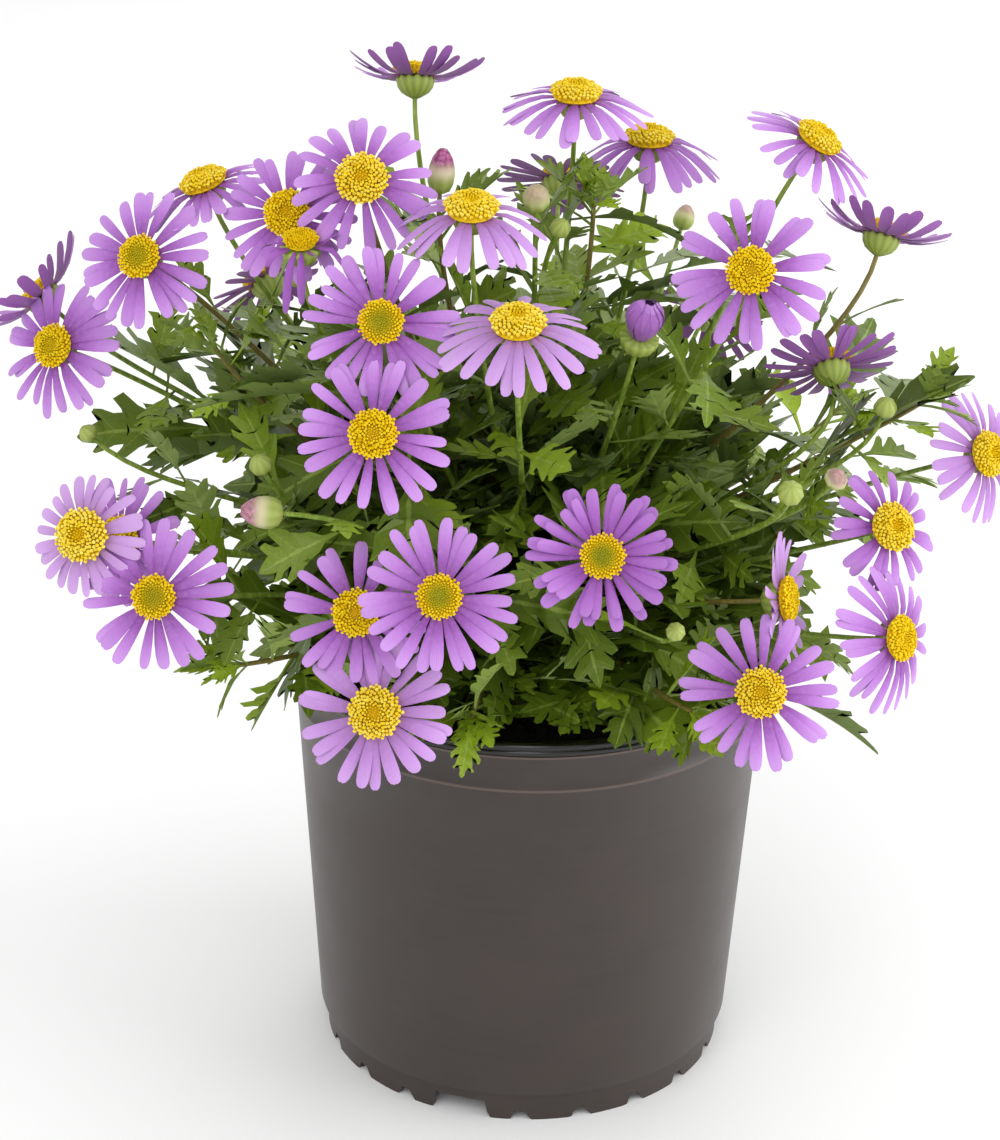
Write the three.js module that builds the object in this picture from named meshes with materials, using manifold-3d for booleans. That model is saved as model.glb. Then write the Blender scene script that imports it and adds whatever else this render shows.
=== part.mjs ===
// Potted swan river daisy: lilac rays round yellow discs on leafy stems, in a dark nursery pot.
// Millimetres, +Z up, front towards -Y, feet on z = 0.
import * as THREE from "three";
import { mergeVertices } from "three/addons/utils/BufferGeometryUtils.js";
import Module from "manifold-3d";

const wasm = await Module();
wasm.setup();
const { Manifold, Mesh } = wasm;
const TAU = 2 * Math.PI;

// Pot
const RIM_RADIUS = 65;
const POT_HEIGHT = 118;
const BASE_RADIUS = 57;
const WALL = 1.6;
const SKIRT_RADIUS = 55;
const SKIRT_HEIGHT = 8.8;
const FLOOR_LOW = 8.2;
const FLOOR_TOP = 10.4;
const LIP_DEPTH = 3.4;
const LIP_OVERHANG = 1.4;
const POT_SIDES = 42;
const NOTCHES = 21;
const WIDE_EVERY = 7;
const FIRST_NOTCH = -17;
const WIDE_NOTCH = { bottom: 13, top: 17, height: 5.2 };
const SMALL_NOTCH = { bottom: 4.6, top: 3.8, height: 2.6 };
const DRAIN_HOLES = 4;
const DRAIN_RADIUS = 4;
const DRAIN_CIRCLE = 38;

// Soil
const SOIL_TOP = 104;
const SOIL_GAP = 0.5;
const SOIL_LUMP = 1.1;
const CROWN_RADIUS = 6;
const CROWN_GAP = 0.4;
const CROWN_DEPTH = 10;
const CROWN_CIRCLE = 19;

// Bloom, along its own axis from the middle of the ray plate
const RAYS = 10;
const RAY_THICK = 0.7;
const RAY_FOOT = 7.2;
const STACK_GAP = 0.3;
const DISC_RADIUS = 5.7;
const CALYX_RADIUS = 4.3;
const CALYX_DEPTH = 5;
const CALYX_BACK = CALYX_DEPTH - 1 + RAY_THICK / 2 + STACK_GAP;

// Stems and leaves
const STEM_LOW = 1.4;
const STEM_HIGH = 0.85;
const LEAF_THICK = 0.8;
const LEAF_TRIES = 40;
const LEAF_APART = 5.2;
const STEM_APART = 3;
// Core of a sector's foliage, which leaves and stalks stand out of: height, inner and outer radius of each ring.
const CORE = [[113, 10, 30], [126, 5, 45], [144, 4, 48], [163, 5, 38], [178, 7, 20]];
const CORE_MARGIN = 5;
const CORE_ROOT = 27;

// Three sectors of the plant by azimuth, in degrees; each holds one crown with its stems and leaves.
const SECTORS = [
  { name: "leafy_stems_front", from: 206, to: 334, seed: 39, leaves: 16 },
  { name: "leafy_stems_right", from: 334, to: 450, seed: 34, leaves: 11 },
  { name: "leafy_stems_left", from: 90, to: 206, seed: 25, leaves: 11 },
];

// Blooms: number, group of blooms whose rays touch, middle x y z, azimuth and tilt of the face, radius, lift.
// Lift is how far the ray tips stand in front of the bloom's plane; a negative one droops.
const BLOOMS = [
  [1, "a", -120, -25, 206, -122, 63, 18, -3],
  [3, "a", -126.5, -6.2, 213, 165, 48, 18, 6],
  [2, "b", -96, -38, 234, -112, 60, 18, -2],
  [4, "b", -82, -22.4, 247.7, -164, 21, 18, -4],
  [5, "c", -60, -42, 247, -105, 58, 17.5, -2],
  [7, "c", -56, -56, 244, -90, 15, 10.5, -5],
  [6, "c", -42, -50, 258, -88, 54, 18, -5],
  [8, "c", -16, -57, 253, -90, 13, 18, -6],
  [9, "e", -36, -76, 232, -90, 60, 18.5, -1],
  [10, "e", -4.5, -82, 233.7, -90, 17, 19.5, -6],
  [11, "e", -37, -89, 209.6, -92, 63, 19, -1],
  [12, "g", -32, 5, 269, 90, 25, 17.5, 5],
  [13, "h", 8, -22, 271.5, -85, 6, 19, -5],
  [14, "f", 27, 4, 253.5, -80, 3, 19, -7],
  [15, "i", 68, -5, 257, -19, 31, 18.5, -4],
  [16, "j", 49, -66, 243, -97, 60, 19, -3],
  [17, "x", 86, -6, 234, 60, 28, 18, 5],
  [18, "k", 74, -18, 203, 100, 50, 18, 2],
  [19, "l", 116, -8, 176, -42, 65, 18, -4],
  [20, "m", 88, -46, 171, -55, 60, 16, -3],
  [21, "m", 90, -61, 148, -39, 72, 19, -5],
  [22, "n", 61, -66, 160, -18, 78, 17, 2],
  [23, "n", 55, -87, 145, -88, 62, 19.5, -2],
  [24, "o", 16, -102, 186, -90, 62, 18, 2],
  [25, "w", -21, -104, 176, -90, 65, 19, -1],
  [26, "p", -36, -98, 143, -95, 65, 19, -2],
  [27, "p", -41, -88, 164, -95, 65, 18, 0],
  [28, "q", -89, -84, 165, -100, 65, 19, -1],
  [29, "q", -106.5, -76, 177, -108, 65, 15, -3],
  [30, "d", -102.8, -44.8, 162.6, -115, 60, 17, -1],
  [32, "r", -75, 54, 198, 130, 52, 18, -1],
  [33, "s", 5, 62, 226, 88, 45, 18, -1],
  [35, "t", 48, 82, 182, 65, 60, 18, -2],
];
const WITHERED = [7];
const DOUBLE = [24];
const HALF_OPEN = { at: [24.5, -52, 222], azimuth: -60, tilt: 20 };

// Buds: x, y, z, azimuth and tilt of the axis, half width, length.
const BUDS = [
  [-24, -30, 255, 0, 4, 3.4, 11],
  [-1, -40, 252, -90, 30, 3.3, 7],
  [5, -38, 244, -60, 40, 2.5, 5],
  [-64, -78, 185, 185, 85, 3.8, 10],
  [-66, -60, 190, -120, 30, 2.8, 5],
  [34, -92, 163, -90, 50, 2.3, 4],
  [72, -66, 192, -60, 40, 2.9, 4],
  [60, -80, 194, -90, 40, 3.1, 5],
  [87, -30, 197, -60, 20, 2.9, 5],
  [-112, -32, 186, 200, 40, 2.4, 4],
  [40, 70, 214, 60, 30, 3, 7],
  [-70, 80, 190, 130, 40, 3, 6],
];

// Leafy shoots with no flower: x, y, z of the tip, azimuth and tilt of its axis.
const SHOOTS = [
  [13, -25, 246, -90, 10],
  [98, -22, 196, -20, 50],
  [-72, -60, 136, -140, 80],
  [-80, -28, 208, 190, 30],
  [-14, -74, 130, -95, 85],
  [40, -76, 134, -60, 80],
  [84, 46, 168, 30, 50],
  [-84, 48, 160, 150, 50],
  [-10, 82, 150, 100, 70],
];

const radians = (degrees) => (degrees * Math.PI) / 180;

function draws(seed) {
  let state = seed;
  return () => {
    state = (state * 1664525 + 1013904223) % 4294967296;
    return state / 4294967296;
  };
}

// Unit axis from an azimuth and a tilt from the vertical, with two directions square to it.
function axisFrame(azimuth, tilt) {
  const a = radians(azimuth);
  const t = radians(tilt);
  const n = new THREE.Vector3(Math.sin(t) * Math.cos(a), Math.sin(t) * Math.sin(a), Math.cos(t));
  const u = new THREE.Vector3(-Math.sin(a), Math.cos(a), 0);
  const v = new THREE.Vector3().crossVectors(n, u);
  return { n, u, v };
}

function solid(geometry) {
  const bare = geometry.clone();
  bare.deleteAttribute("normal");
  bare.deleteAttribute("uv");
  const merged = mergeVertices(bare, 1e-4);
  return new Manifold(
    new Mesh({
      numProp: 3,
      vertProperties: merged.attributes.position.array,
      triVerts: new Uint32Array(merged.index.array),
    }),
  );
}

function indexedSolid(points, index) {
  const vertProperties = new Float32Array(points.flatMap((p) => [p.x, p.y, p.z]));
  return new Manifold(new Mesh({ numProp: 3, vertProperties, triVerts: new Uint32Array(index) }));
}

function geometryOf(manifold) {
  const mesh = manifold.getMesh();
  const points = new Float32Array(mesh.numVert * 3);
  for (let i = 0; i < mesh.numVert; i++) {
    points.set(mesh.vertProperties.subarray(i * mesh.numProp, i * mesh.numProp + 3), i * 3);
  }
  const geometry = new THREE.BufferGeometry();
  geometry.setAttribute("position", new THREE.BufferAttribute(points, 3));
  geometry.setIndex(new THREE.BufferAttribute(mesh.triVerts, 1));
  geometry.computeVertexNormals();
  return geometry;
}

// A flat outline split into the given triangles, thickened and bent: move(x, y, z) gives each corner's place.
function bentPlate(outline, faces, thickness, move) {
  const count = outline.length;
  const low = outline.map(([x, y]) => move(x, y, -thickness / 2));
  const high = outline.map(([x, y]) => move(x, y, thickness / 2));
  const index = [];
  for (const [a, b, c] of faces) {
    index.push(a + count, b + count, c + count);
    index.push(a, c, b);
  }
  for (let i = 0; i < count; i++) {
    const j = (i + 1) % count;
    index.push(i, j, j + count, i, j + count, i + count);
  }
  return indexedSolid([...low, ...high], index);
}

// Rings of points with the same count, closed by a flat or pointed end at both sides.
function ringSolid(rings) {
  const sides = rings[0].length;
  const points = rings.flat();
  const index = [];
  for (let r = 0; r + 1 < rings.length; r++) {
    for (let s = 0; s < sides; s++) {
      const a = r * sides + s;
      const b = r * sides + ((s + 1) % sides);
      index.push(a, b, b + sides, a, b + sides, a + sides);
    }
  }
  const last = (rings.length - 1) * sides;
  for (let s = 1; s + 1 < sides; s++) {
    index.push(0, s + 1, s);
    index.push(last, last + s, last + s + 1);
  }
  return indexedSolid(points, index);
}

// Rings round an axis frame: each level is a radius and a height along the axis.
function turned(centre, frame, levels, sides) {
  const rings = levels.map(([radius, height]) =>
    Array.from({ length: sides }, (_, s) => {
      const angle = (TAU * s) / sides;
      return centre
        .clone()
        .addScaledVector(frame.u, radius * Math.cos(angle))
        .addScaledVector(frame.v, radius * Math.sin(angle))
        .addScaledVector(frame.n, height);
    }),
  );
  return ringSolid(rings);
}

// ---- Pot and soil
const wallRadius = (z) => BASE_RADIUS + ((RIM_RADIUS - LIP_OVERHANG - BASE_RADIUS) * (z - SKIRT_HEIGHT)) /
  (POT_HEIGHT - LIP_DEPTH - SKIRT_HEIGHT);
const innerRadius = (z) => wallRadius(z) - WALL;

function latheSolid(profile, sides) {
  const points = profile.map(([radius, z]) => new THREE.Vector2(radius, z));
  const geometry = new THREE.LatheGeometry(points, sides);
  geometry.rotateX(Math.PI / 2);
  return solid(geometry);
}

// A wedge that cuts one notch up into the skirt, wider at its top than at its bottom.
function notchCutter({ bottom, top, height }, angle) {
  const shape = new THREE.Shape([
    new THREE.Vector2(-bottom / 2, -1),
    new THREE.Vector2(bottom / 2, -1),
    new THREE.Vector2(top / 2, height),
    new THREE.Vector2(-top / 2, height),
  ]);
  const geometry = new THREE.ExtrudeGeometry(shape, { depth: 14, bevelEnabled: false });
  geometry.rotateX(Math.PI / 2);
  geometry.translate(0, -SKIRT_RADIUS + 10, 0);
  geometry.rotateZ(angle);
  return solid(geometry);
}

function makePot() {
  let pot = latheSolid(
    [
      [0, FLOOR_LOW],
      [SKIRT_RADIUS - WALL, FLOOR_LOW],
      [SKIRT_RADIUS - WALL, 0],
      [SKIRT_RADIUS, 0],
      [SKIRT_RADIUS, SKIRT_HEIGHT],
      [BASE_RADIUS, SKIRT_HEIGHT],
      [wallRadius(POT_HEIGHT - LIP_DEPTH), POT_HEIGHT - LIP_DEPTH],
      [RIM_RADIUS, POT_HEIGHT - LIP_DEPTH],
      [RIM_RADIUS - 0.5, POT_HEIGHT],
      [innerRadius(POT_HEIGHT), POT_HEIGHT],
      [innerRadius(FLOOR_TOP), FLOOR_TOP],
      [0, FLOOR_TOP],
    ],
    POT_SIDES,
  );
  const cutters = [];
  for (let i = 0; i < NOTCHES; i++) {
    const notch = i % WIDE_EVERY === 0 ? WIDE_NOTCH : SMALL_NOTCH;
    cutters.push(notchCutter(notch, radians(FIRST_NOTCH) + (TAU * i) / NOTCHES));
  }
  for (let i = 0; i < DRAIN_HOLES; i++) {
    const hole = new THREE.CylinderGeometry(DRAIN_RADIUS, DRAIN_RADIUS, 8, 8);
    hole.rotateX(Math.PI / 2);
    const angle = (TAU * i) / DRAIN_HOLES;
    hole.translate(DRAIN_CIRCLE * Math.cos(angle), DRAIN_CIRCLE * Math.sin(angle), FLOOR_TOP);
    cutters.push(solid(hole));
  }
  return pot.subtract(Manifold.union(cutters));
}

const crownPlace = (sector) => {
  const middle = radians((sector.from + sector.to) / 2);
  return new THREE.Vector2(CROWN_CIRCLE * Math.cos(middle), CROWN_CIRCLE * Math.sin(middle));
};

const soilHeight = (x, y) =>
  SOIL_TOP + SOIL_LUMP * (Math.sin(x / 7) * Math.cos(y / 9) + 0.5 * Math.sin((x + 2 * y) / 11));

function makeSoil() {
  const low = FLOOR_TOP + SOIL_GAP;
  const lowRadius = innerRadius(low) - SOIL_GAP;
  const highRadius = innerRadius(SOIL_TOP) - SOIL_GAP;
  const geometry = new THREE.LatheGeometry(
    [
      new THREE.Vector2(0, low),
      new THREE.Vector2(lowRadius, low),
      new THREE.Vector2(highRadius, SOIL_TOP - 0.5),
      new THREE.Vector2(38, SOIL_TOP),
      new THREE.Vector2(0, SOIL_TOP),
    ],
    26,
  );
  geometry.rotateX(Math.PI / 2);
  const position = geometry.attributes.position;
  for (let i = 0; i < position.count; i++) {
    if (position.getZ(i) > SOIL_TOP - 0.2) {
      position.setZ(i, soilHeight(position.getX(i), position.getY(i)));
    }
  }
  const holes = SECTORS.map((sector) => {
    const at = crownPlace(sector);
    const hole = new THREE.CylinderGeometry(CROWN_RADIUS + CROWN_GAP, CROWN_RADIUS + CROWN_GAP, 40, 12);
    hole.rotateX(Math.PI / 2);
    hole.translate(at.x, at.y, SOIL_TOP - CROWN_DEPTH - CROWN_GAP + 20);
    return solid(hole);
  });
  return solid(geometry).subtract(Manifold.union(holes));
}

// ---- Blooms
// How far a ray stands off the bloom's plane at a distance from the middle.
function rayLift(distance, radius, lift) {
  const s = Math.max(0, (distance - RAY_FOOT) / (radius - RAY_FOOT));
  return lift * s ** 1.5;
}

function rayPlate(centre, frame, radius, lift, turn, rays = RAYS) {
  const outline = [];
  const faces = [];
  const corner = (distance, angle) => outline.push([distance * Math.cos(angle), distance * Math.sin(angle)]);
  for (let i = 0; i < rays; i++) {
    const angle = turn + (TAU * i) / rays;
    const step = TAU / rays;
    const reach = radius * (1 - 0.05 * (0.5 + 0.5 * Math.sin(5 * i + radius)));
    corner(RAY_FOOT, angle - step / 2);
    corner(reach * 0.86, angle - step * 0.37);
    corner(reach, angle);
    corner(reach * 0.86, angle + step * 0.37);
    const foot = 4 * i;
    const next = (foot + 4) % (4 * rays);
    faces.push([foot, foot + 1, foot + 2], [foot, foot + 2, next], [next, foot + 2, foot + 3]);
    if (i > 0 && i < rays - 1) faces.push([0, foot, next]);
  }
  return bentPlate(outline, faces, RAY_THICK, (x, y, z) =>
    centre
      .clone()
      .addScaledVector(frame.u, x)
      .addScaledVector(frame.v, y)
      .addScaledVector(frame.n, z + rayLift(Math.hypot(x, y), radius, lift)),
  );
}

function makeRays(bloom) {
  const [id, , x, y, z, azimuth, tilt, radius, lift] = bloom;
  const centre = new THREE.Vector3(x, y, z);
  const frame = axisFrame(azimuth, tilt);
  const plate = rayPlate(centre, frame, radius, lift, id * 0.7);
  if (!DOUBLE.includes(id)) return plate;
  const step = centre.clone().addScaledVector(frame.n, RAY_THICK - 0.1);
  return plate.add(rayPlate(step, frame, radius - 3, lift + 1.5, id * 0.7 + Math.PI / RAYS));
}

// A half-open flower: rays still rolled together in a fluted cone.
function makeHalfOpen() {
  const centre = new THREE.Vector3(...HALF_OPEN.at);
  const frame = axisFrame(HALF_OPEN.azimuth, HALF_OPEN.tilt);
  return turned(centre, frame, [[2.1, -0.35], [4.1, 4], [4.6, 7.5], [1.9, 11]], 9);
}

// The disc: a low dome whose two rings of florets stand up and down in turn.
function makeDisc(bloom) {
  const [id, , x, y, z, azimuth, tilt] = bloom;
  const frame = axisFrame(azimuth, tilt);
  const extra = DOUBLE.includes(id) ? RAY_THICK - 0.1 : 0;
  const centre = new THREE.Vector3(x, y, z).addScaledVector(frame.n, RAY_THICK / 2 + STACK_GAP + extra);
  const levels = [
    [DISC_RADIUS, 0, 0],
    [DISC_RADIUS * 0.93, 1.7, 0.45],
    [DISC_RADIUS * 0.4, 2.8, 0.4],
  ];
  const sides = 7;
  const rings = levels.map(([radius, height, relief]) =>
    Array.from({ length: sides }, (_, s) => {
      const angle = (TAU * s) / sides;
      return centre
        .clone()
        .addScaledVector(frame.u, radius * Math.cos(angle))
        .addScaledVector(frame.v, radius * Math.sin(angle))
        .addScaledVector(frame.n, height + relief * Math.cos(3 * angle));
    }),
  );
  return ringSolid(rings);
}

// ---- Stems, calyxes, buds and leaves
function lineBetween(start, heading, end, axis, segments) {
  const span = end.distanceTo(start);
  const lead = heading.clone().addScaledVector(end.clone().sub(start), 1 / span);
  const first = start.clone().addScaledVector(lead, span * 0.18);
  const second = end.clone().addScaledVector(axis, -Math.min(24, span * 0.45));
  return new THREE.CubicBezierCurve3(start, first, second, end).getPoints(segments);
}

// A place on a stem's line of points.
function pointAlong(line, share) {
  const at = Math.min(share, 0.999) * (line.length - 1);
  const k = Math.floor(at);
  return line[k].clone().lerp(line[k + 1], at - k);
}

// A stem along a line of points, ended by a head: rings of a radius and a height past the last point.
function stalkSolid(line, axis, sides, head) {
  const last = line.length - 1;
  const rings = line.map((point, k) => {
    const along = line[Math.min(k + 1, last)].clone().sub(line[Math.max(k - 1, 0)]).normalize();
    return { point, along, radius: STEM_LOW + ((STEM_HIGH - STEM_LOW) * k) / last };
  });
  rings[last].along = axis;
  for (const [radius, height] of head) {
    rings.push({ point: line[last].clone().addScaledVector(axis, height), along: axis, radius });
  }
  return ringSolid(
    rings.map((ring) => {
      const side = new THREE.Vector3(ring.along.z, 0, -ring.along.x).normalize();
      const other = new THREE.Vector3().crossVectors(ring.along, side);
      return Array.from({ length: sides }, (_, s) => {
        const angle = (TAU * (s + 0.5)) / sides;
        return ring.point
          .clone()
          .addScaledVector(side, ring.radius * Math.cos(angle))
          .addScaledVector(other, ring.radius * Math.sin(angle));
      });
    }),
  );
}

// One side of a lobed leaf: distance along the rib and half width, as shares of the length.
const LEAF_SIDE = [[0, 0.013], [0.24, 0.04], [0.52, 0.3], [0.44, 0.08], [0.82, 0.22], [0.7, 0.065]];
const LEAF_FACES = [[0, 1, 11], [0, 11, 12], [1, 2, 3], [1, 3, 9], [1, 9, 11], [3, 4, 5], [3, 5, 7], [3, 7, 9]];
LEAF_FACES.push([5, 6, 7], [7, 8, 9], [9, 10, 11]);

// Where a point of a leaf lies: x and y are shares of its length, z is in mm off the blade.
function leafPoint(leaf, x, y, z) {
  const sag = leaf.sag * x * x * leaf.length;
  return leaf.base
    .clone()
    .addScaledVector(leaf.along, x * leaf.length)
    .addScaledVector(leaf.side, y * leaf.length)
    .addScaledVector(leaf.face, z - sag + leaf.fold * Math.abs(y) * leaf.length);
}

function leafFrame(base, azimuth, elevation, roll, length, sag) {
  const a = radians(azimuth);
  const e = radians(elevation);
  const along = new THREE.Vector3(Math.cos(a) * Math.cos(e), Math.sin(a) * Math.cos(e), Math.sin(e));
  const flat = new THREE.Vector3(-Math.sin(a), Math.cos(a), 0);
  const up = new THREE.Vector3().crossVectors(along, flat);
  const side = flat.clone().multiplyScalar(Math.cos(radians(roll))).addScaledVector(up, Math.sin(radians(roll)));
  const face = new THREE.Vector3().crossVectors(along, side);
  return { base, along, side, face, length, sag, fold: 0.25 };
}

function makeLeaf(leaf) {
  const right = LEAF_SIDE.map(([x, y]) => [x, -y]);
  const left = [...LEAF_SIDE].reverse();
  const outline = [...right, [1, 0], ...left];
  return bentPlate(outline, LEAF_FACES, LEAF_THICK, (x, y, z) => leafPoint(leaf, x, y, z));
}

const LEAF_PROBES = [[0.2, 0], [0.4, 0], [0.6, 0], [0.8, 0], [1, 0], [0.52, 0.3], [0.52, -0.3], [0.82, 0.22], [0.82, -0.22]];

function inSector(sector, p, margin) {
  const from = radians(sector.from);
  const to = radians(sector.to);
  const pastFrom = -Math.sin(from) * p.x + Math.cos(from) * p.y;
  const beforeTo = Math.sin(to) * p.x - Math.cos(to) * p.y;
  return pastFrom > margin && beforeTo > margin;
}

const BLOOM_ZONES = BLOOMS.map(([, , x, y, z, azimuth, tilt, radius, lift]) => ({
  centre: new THREE.Vector3(x, y, z),
  n: axisFrame(azimuth, tilt).n,
  radius: radius + 1.5,
  low: Math.min(0, lift) - 2.5,
  high: Math.max(3.5, lift) + 3,
}));
BLOOM_ZONES.push({
  centre: new THREE.Vector3(...HALF_OPEN.at),
  n: axisFrame(HALF_OPEN.azimuth, HALF_OPEN.tilt).n,
  radius: 7.5,
  low: -2,
  high: 15,
});

function clearOfOthers(p) {
  const out = Math.hypot(p.x, p.y);
  if (out < 70 && out > 50 && p.z < POT_HEIGHT + 3) return false;
  if (out <= 50 && p.z < SOIL_TOP + 4) return false;
  return BLOOM_ZONES.every((zone) => {
    const d = p.clone().sub(zone.centre);
    const height = d.dot(zone.n);
    if (height < zone.low || height > zone.high) return true;
    return d.lengthSq() - height * height > zone.radius ** 2;
  });
}

const leafFits = (leaf, sector) =>
  LEAF_PROBES.every(([x, y]) => {
    const p = leafPoint(leaf, x, y, 0);
    return inSector(sector, p, 1.2) && clearOfOthers(p);
  });

// A sector's core: its crown in the soil hole, widening into the wedge that the sector leaves it.
function makeCore(sector) {
  const crown = crownPlace(sector);
  const span = sector.to - sector.from;
  const middle = (sector.from + sector.to) / 2;
  const polar = (radius, degrees, z) =>
    new THREE.Vector3(radius * Math.cos(radians(degrees)), radius * Math.sin(radians(degrees)), z);
  const crownRing = (radius, z) =>
    Array.from({ length: 7 }, (_, k) => polar(radius, middle + 180 + (360 * k) / 7, z).add({ x: crown.x, y: crown.y, z: 0 }));
  const coreRing = ([z, near, far]) => [
    polar(near, middle, z),
    polar(far * 0.6, sector.from + CORE_MARGIN, z),
    polar(far, sector.from + 0.14 * span, z + 2),
    polar(far * 1.03, sector.from + 0.38 * span, z - 2),
    polar(far * 0.97, sector.from + 0.62 * span, z + 2),
    polar(far, sector.from + 0.86 * span, z - 2),
    polar(far * 0.6, sector.to - CORE_MARGIN, z),
  ];
  return ringSolid([
    crownRing(CROWN_RADIUS, SOIL_TOP - CROWN_DEPTH),
    crownRing(CROWN_RADIUS, SOIL_TOP + 2.5),
    ...CORE.map(coreRing),
  ]);
}

function coreRadius(z) {
  for (let k = 0; k + 1 < CORE.length; k++) {
    const [low, , near] = CORE[k];
    const [high, , far] = CORE[k + 1];
    if (z <= high) return near + ((far - near) * (z - low)) / (high - low);
  }
  return CORE.at(-1)[2];
}

// Every tip that a side stem ends in, with the rings of its head.
const TIPS = [];
const calyxHead = [[CALYX_RADIUS, CALYX_DEPTH - 1]];
for (const [id, , x, y, z, azimuth, tilt] of BLOOMS) {
  TIPS.push({ at: [x, y, z], azimuth, tilt, back: CALYX_BACK, leaves: id % 2, sides: 5, segments: 3, head: calyxHead });
}
TIPS.push({ ...HALF_OPEN, back: CALYX_BACK, leaves: 1, sides: 5, segments: 3, head: calyxHead });
for (const [x, y, z, azimuth, tilt, half, length] of BUDS) {
  const head = [[half, length * 0.45], [half * 0.3, length]];
  TIPS.push({ at: [x, y, z], azimuth, tilt, back: length * 0.5, leaves: 0, sides: 4, segments: 2, head });
}
for (const [x, y, z, azimuth, tilt] of SHOOTS) {
  TIPS.push({ at: [x, y, z], azimuth, tilt, back: 0, leaves: 2, sides: 3, segments: 3, head: [] });
}

// A stem to each tip in the sector, from inside the core.
function sideStems(sector) {
  const stems = [];
  for (const tip of TIPS) {
    const axis = axisFrame(tip.azimuth, tip.tilt).n;
    const end = new THREE.Vector3(...tip.at).addScaledVector(axis, -tip.back);
    if (!inSector(sector, end, 0)) continue;
    const out = Math.min(CORE_ROOT, 0.36 * Math.hypot(end.x, end.y));
    const half = radians(sector.to - sector.from) / 2 - 0.3;
    const middle = radians(sector.from + sector.to) / 2;
    const off = Math.atan2(Math.sin(Math.atan2(end.y, end.x) - middle), Math.cos(Math.atan2(end.y, end.x) - middle));
    const angle = middle + Math.min(Math.max(off, -half), half);
    const start = new THREE.Vector3(out * Math.cos(angle), out * Math.sin(angle), 126 + (end.z - 126) * 0.24);
    const heading = new THREE.Vector3(end.x, end.y, end.z - 90).normalize();
    stems.push({ ...tip, axis, line: lineBetween(start, heading, end, axis, tip.segments) });
  }
  return stems;
}

function drawLeaf(draw, base) {
  const outward = (Math.atan2(base.y, base.x) * 180) / Math.PI;
  const azimuth = outward + 190 * (draw() - 0.5);
  const elevation = -5 + 55 * draw();
  const roll = 90 * (draw() - 0.5);
  const length = 36 + 15 * draw();
  return leafFrame(base, azimuth, elevation, roll, length, 0.1 + 0.3 * draw());
}

function distanceToLine(p, line) {
  let least = Infinity;
  for (let k = 0; k + 1 < line.length; k++) {
    const near = new THREE.Line3(line[k], line[k + 1]).closestPointToPoint(p, true, new THREE.Vector3());
    least = Math.min(least, near.distanceTo(p));
  }
  return least;
}

function leavesOf(sector, stems) {
  const draw = draws(sector.seed);
  const leaves = [];
  const grow = (own, place) => {
    for (let attempt = 0; attempt < LEAF_TRIES; attempt++) {
      const leaf = drawLeaf(draw, place());
      if (!leafFits(leaf, sector)) continue;
      const probes = LEAF_PROBES.map(([x, y]) => leafPoint(leaf, x, y, 0));
      if (leaves.some((other) => other.probes.some((p) => probes.some((q) => p.distanceTo(q) < LEAF_APART)))) continue;
      const far = (stem) => probes.slice(stem === own ? 2 : 1);
      if (stems.some((stem) => far(stem).some((p) => distanceToLine(p, stem.line) < STEM_APART))) continue;
      leaves.push({ ...leaf, probes });
      return;
    }
  };
  for (const stem of stems) {
    for (let k = 0; k < stem.leaves; k++) {
      const low = 0.45 + (0.5 * k) / stem.leaves;
      grow(stem, () => pointAlong(stem.line, low + (0.4 * draw()) / stem.leaves));
    }
  }
  for (let k = 0; k < sector.leaves; k++) {
    grow(null, () => {
      const z = 118 + 58 * draw();
      const angle = radians(sector.from + (sector.to - sector.from) * (0.1 + 0.8 * draw()));
      const out = coreRadius(z) * 0.9;
      return new THREE.Vector3(out * Math.cos(angle), out * Math.sin(angle), z);
    });
  }
  return leaves;
}

function makeLeafyStems(sector) {
  const stems = sideStems(sector);
  const leaves = leavesOf(sector, stems);
  const pieces = [makeCore(sector)];
  for (const stem of stems) {
    pieces.push(stalkSolid(stem.line, stem.axis, stem.sides, stem.head));
  }
  for (const leaf of leaves) pieces.push(makeLeaf(leaf));

  return Manifold.union(pieces);
}

// ---- The part
const MATERIALS = {
  pot: { color: 0x3f3b38, roughness: 0.45, metalness: 0 },
  soil: { color: 0x211912, roughness: 0.95, metalness: 0 },
  green: { color: 0x4a7022, roughness: 0.6, metalness: 0 },
  rays: { color: 0xb27fd9, roughness: 0.6, metalness: 0 },
  disc: { color: 0xe8bd1f, roughness: 0.7, metalness: 0 },
};

const root = new THREE.Group();
function place(name, manifold, look) {
  const mesh = new THREE.Mesh(geometryOf(manifold), new THREE.MeshStandardMaterial(MATERIALS[look]));
  mesh.name = name;
  root.add(mesh);
}

place("pot", makePot(), "pot");
place("potting_soil", makeSoil(), "soil");
for (const sector of SECTORS) place(sector.name, makeLeafyStems(sector), "green");
const groups = [...new Set(BLOOMS.map((bloom) => bloom[1]))];
for (const group of groups) {
  const members = BLOOMS.filter((bloom) => bloom[1] === group);
  const name = "rays_" + members.map((bloom) => bloom[0]).join("_");
  place(name, Manifold.union(members.map(makeRays)), "rays");
}
place("rays_half_open", makeHalfOpen(), "rays");
for (const bloom of BLOOMS) {
  if (!WITHERED.includes(bloom[0])) place("disc_" + bloom[0], makeDisc(bloom), "disc");
}

// The frame's origin is the middle of the whole part's box, on the floor.
const box = new THREE.Box3().setFromObject(root);
for (const mesh of root.children) {
  mesh.geometry.translate(-(box.min.x + box.max.x) / 2, -(box.min.y + box.max.y) / 2, 0);
}

export default root;
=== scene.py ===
"""Potted swan river daisy: lilac rays round yellow discs, lobed leaves on thin stems, a dark nursery pot.

The shape functions work in millimetres from the middle of the pot's foot; Shells.build turns them into
the frame's metres. Blooms, buds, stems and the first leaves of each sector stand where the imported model
has them.
"""
import math

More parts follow.
